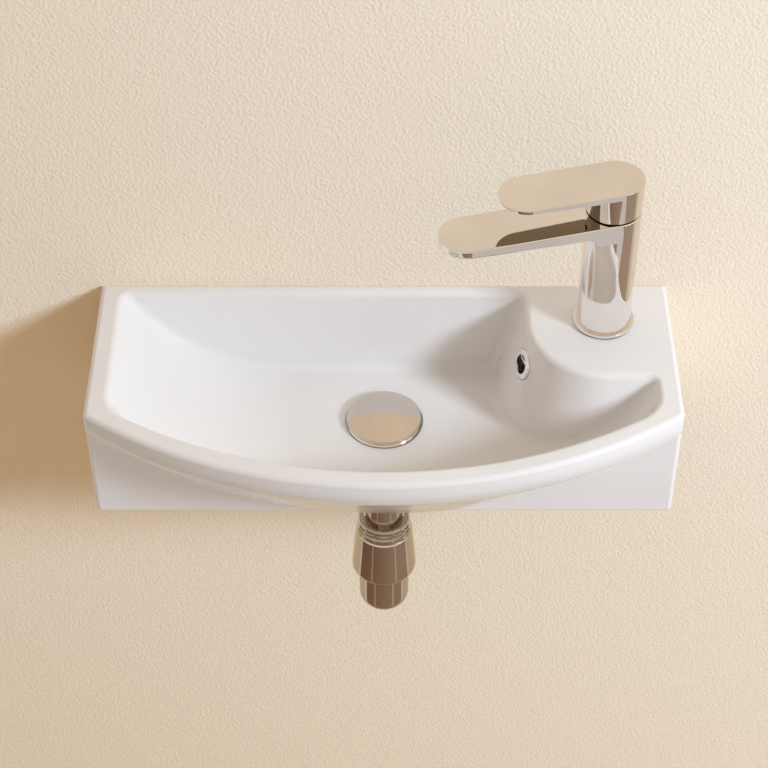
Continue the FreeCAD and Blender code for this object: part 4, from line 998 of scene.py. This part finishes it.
@dataclass
class Studio:
    """Camera, wall, floor, lamps and world.

    Attributes:
        camera_at: Place of the camera.
        camera_tilt: Tilt of the camera from straight down, in degrees.
        lens: Focal length in millimetres.
        wall_gap: How far behind the basin the wall's face lies.
        wall_near: Rays shorter than this pass through the wall.
        wall_half: Half the wall's width.
        wall_top: Height of the wall's top.
        wall_colour: Colour of the wall.
        wall_painted_reflection: Painted reflection that polished surfaces show in place of the wall, darker
            low down as painted shade and lighter high up.
        mirrored_rise: Heights between which it goes from one to the other.
        floor_z: Height of the floor.
        floor_half: Half the floor's side.
        floor_colour: Colour of the floor.
        floor_painted_reflection: Painted reflection that polished surfaces show in place of the floor.
        matte: Roughness of wall and floor.
        grain: Bumps of the wall's plaster per metre.
        grain_depth: Height of those bumps.
        ambient_low: Light that comes from the horizon.
        ambient_high: Light that comes from above.
        seen_low: What the eye and polished metal see at the horizon.
        seen_high: What they see overhead.
        ambient_rise: Upward share of a direction over which the low tones become the high ones.
        lamps: The lamps.
        cards: The glowing cards, painted reflections that only polished surfaces show.
    """

    camera_at: Place = (0.0, -1.2788, 1.1995)
    camera_tilt: float = 45.87
    lens: float = 95.67
    wall_gap: float = 0.6 * MM
    wall_near: float = 1.8 * MM
    wall_half: float = 2.4
    wall_top: float = 2.6
    wall_colour: Colour = (0.82, 0.615, 0.385)
    wall_painted_reflection: tuple[Colour, Colour] = ((0.54, 0.42, 0.27), (0.78, 0.645, 0.50))
    mirrored_rise: Span = (-0.35, 0.05)
    floor_z: float = -0.85
    floor_half: float = 3.5
    floor_colour: Colour = (0.84, 0.79, 0.75)
    floor_painted_reflection: Colour = (0.60, 0.53, 0.46)
    matte: float = 0.9
    grain: float = 380.0
    grain_depth: float = 0.8 * MM
    ambient_low: Colour = (0.50, 0.435, 0.37)
    ambient_high: Colour = (0.48, 0.42, 0.355)
    seen_low: Colour = (0.86, 0.82, 0.76)
    seen_high: Colour = (0.62, 0.47, 0.33)
    ambient_rise: Span = (0.2, 0.9)

    lamps: tuple[Lamp, ...] = (
        Lamp("key", KEY_WAY, 2.5, 0.45, 34.5, KEY_COLOUR, Lit.PART_AND_FLOOR),
        Lamp("key_soft", KEY_WAY, 2.5, 0.45, 11.0, KEY_COLOUR, Lit.PART_AND_FLOOR, ("basin_body",)),
        Lamp("key_wall", KEY_WAY, 3.5, 0.68, 233.0, (0.413, 0.62, 1.0), Lit.WALL, ("basin_body",)),
        Lamp("back_fill", (0.5, -0.8, -0.35), 2.5, 1.5, 22.0, (1.0, 0.96, 0.91)),
        Lamp("glint", KEY_WAY, 2.5, 0.6, 4.0, (0.92, 0.96, 1.0), glint=True),
    )
    cards: tuple[ReflectionCard, ...] = (
        # Painted reflections: a room sheet from dark to brown, two strips and a pale patch, seen only in
        # polished surfaces.
        ReflectionCard("stage_room", (0.0, -1.15, -0.80), (1.6, 1.05), 0.0, (0.14, 0.07, 0.035), (0.38, 0.27, 0.19)),
        ReflectionCard("stage_strip_left", (-0.43, -0.56, -0.79), (0.028, 0.30), -40.0, (0.42, 0.29, 0.20)),
        ReflectionCard("stage_strip_right", (0.43, -0.56, -0.79), (0.028, 0.30), 40.0, (0.50, 0.40, 0.32)),
        ReflectionCard("stage_pale", (0.78, -1.05, -0.785), (0.22, 0.16), 0.0, (0.60, 0.54, 0.50)),
    )

    def build(self) -> None:
        """Sets up everything round the basin."""
        bpy.context.scene.view_settings.view_transform = "Standard"
        self.add_camera()
        self.add_wall()
        self.add_floor()
        for lamp in self.lamps:
            lamp.hang()
        for card in self.cards:
            card.lay()
        self.add_world()

    def add_camera(self) -> None:
        """Puts the camera where the photograph was taken from."""
        data = bpy.data.cameras.new("camera")
        data.lens = self.lens
        camera = bpy.data.objects.new("camera", data)
        camera.location = self.camera_at
        camera.rotation_euler = (math.radians(self.camera_tilt), 0.0, 0.0)
        bpy.context.scene.collection.objects.link(camera)
        bpy.context.scene.camera = camera

    def backdrop(self, name: str, colour: Colour, painted_reflection: tuple[Colour, Colour],
                 see_near: float) -> bpy.types.Material:
        """A matte material that is seen from its front only, and that polished surfaces show as a glow: a
        painted reflection.

        Args:
            name: Its name.
            colour: Its colour.
            painted_reflection: The glow that polished surfaces show in its place, low down and high up.
            see_near: Rays shorter than this pass through it.

        Returns:
            The material.
        """
        material = bpy.data.materials.new(name)
        material.use_nodes = True
        material.cycles.emission_sampling = "NONE"
        tree = Tree(material.node_tree)
        place = tree.add("ShaderNodeTexCoord").outputs["Object"]
        shader = tree.add("ShaderNodeBsdfPrincipled", {"Base Color": opaque(colour), "Roughness": self.matte})
        Finish.bump(tree, shader, tree.noise(place, self.grain, 4.0), self.grain_depth)
        clear = tree.add("ShaderNodeBsdfTransparent")
        light = tree.add("ShaderNodeLightPath").outputs
        behind = tree.add("ShaderNodeNewGeometry").outputs["Backfacing"]
        near = tree.maths("LESS_THAN", light["Ray Length"], see_near)
        share = tree.maths("MAXIMUM", behind, near)
        # Painted reflection: glossy rays see a glow, darker low down as painted shade.
        risen = tree.spread(tree.parts(place)[2], self.mirrored_rise)
        glow = tree.add("ShaderNodeEmission", {"Color": tree.mix(risen, *map(opaque, painted_reflection))})
        feeds = {0: light["Is Glossy Ray"], 1: shader.outputs[0], 2: glow.outputs[0]}
        face = tree.add("ShaderNodeMixShader", feeds)
        both = tree.add("ShaderNodeMixShader", {0: share, 1: face.outputs[0], 2: clear.outputs[0]})
        tree.add("ShaderNodeOutputMaterial", {"Surface": both.outputs[0]})
        return material

    def add_wall(self) -> None:
        """Puts a plain wall behind the basin."""
        half_high = (self.wall_top - self.floor_z) / 2
        middle = Vector((0.0, self.wall_gap, (self.wall_top + self.floor_z) / 2))
        place = Matrix.Translation(middle) @ Matrix.Rotation(math.radians(90), 4, "X")
        paint = self.backdrop("wall_paint", self.wall_colour, self.wall_painted_reflection, self.wall_near)
        stage_sheet(WALL, (self.wall_half, half_high), place, paint)

    def add_floor(self) -> None:
        """Puts a plain pale floor below."""
        place = Matrix.Translation((0.0, 0.0, self.floor_z))
        paint = self.backdrop("floor_paint", self.floor_colour, (self.floor_painted_reflection,) * 2, 0.0)
        stage_sheet("stage_floor", (self.floor_half, self.floor_half), place, paint)

    def add_world(self) -> None:
        """Lights the studio softly from all round, with a pale background."""
        world = bpy.data.worlds.new("studio")
        world.use_nodes = True
        bpy.context.scene.world = world
        tree = Tree(world.node_tree)
        way = tree.add("ShaderNodeTexCoord").outputs["Generated"]
        share = tree.spread(tree.parts(way)[2], self.ambient_rise)
        ambient = tree.mix(share, opaque(self.ambient_low), opaque(self.ambient_high))
        view = tree.mix(share, opaque(self.seen_low), opaque(self.seen_high))
        rays = tree.add("ShaderNodeLightPath").outputs
        seen = tree.maths("MAXIMUM", rays["Is Camera Ray"], rays["Is Glossy Ray"])
        seen = tree.maths("MAXIMUM", seen, rays["Is Transmission Ray"])
        shade = tree.add("ShaderNodeBackground", {"Color": tree.mix(seen, ambient, view), "Strength": 1.0})
        tree.add("ShaderNodeOutputWorld", {"Surface": shade.outputs[0]})


def main() -> None:
    """Builds and dresses every sub-assembly in order."""
    logging.basicConfig(level=logging.INFO, format="%(name)s: %(message)s")
    paint = Paint()
    for assembly in (Basin(), Waste(), Trap(), Tap()):
        LOG.info("dressing %s", type(assembly).__name__)
        assembly.dress(paint)
    Studio().build()


if __name__ == "__main__":
    main()
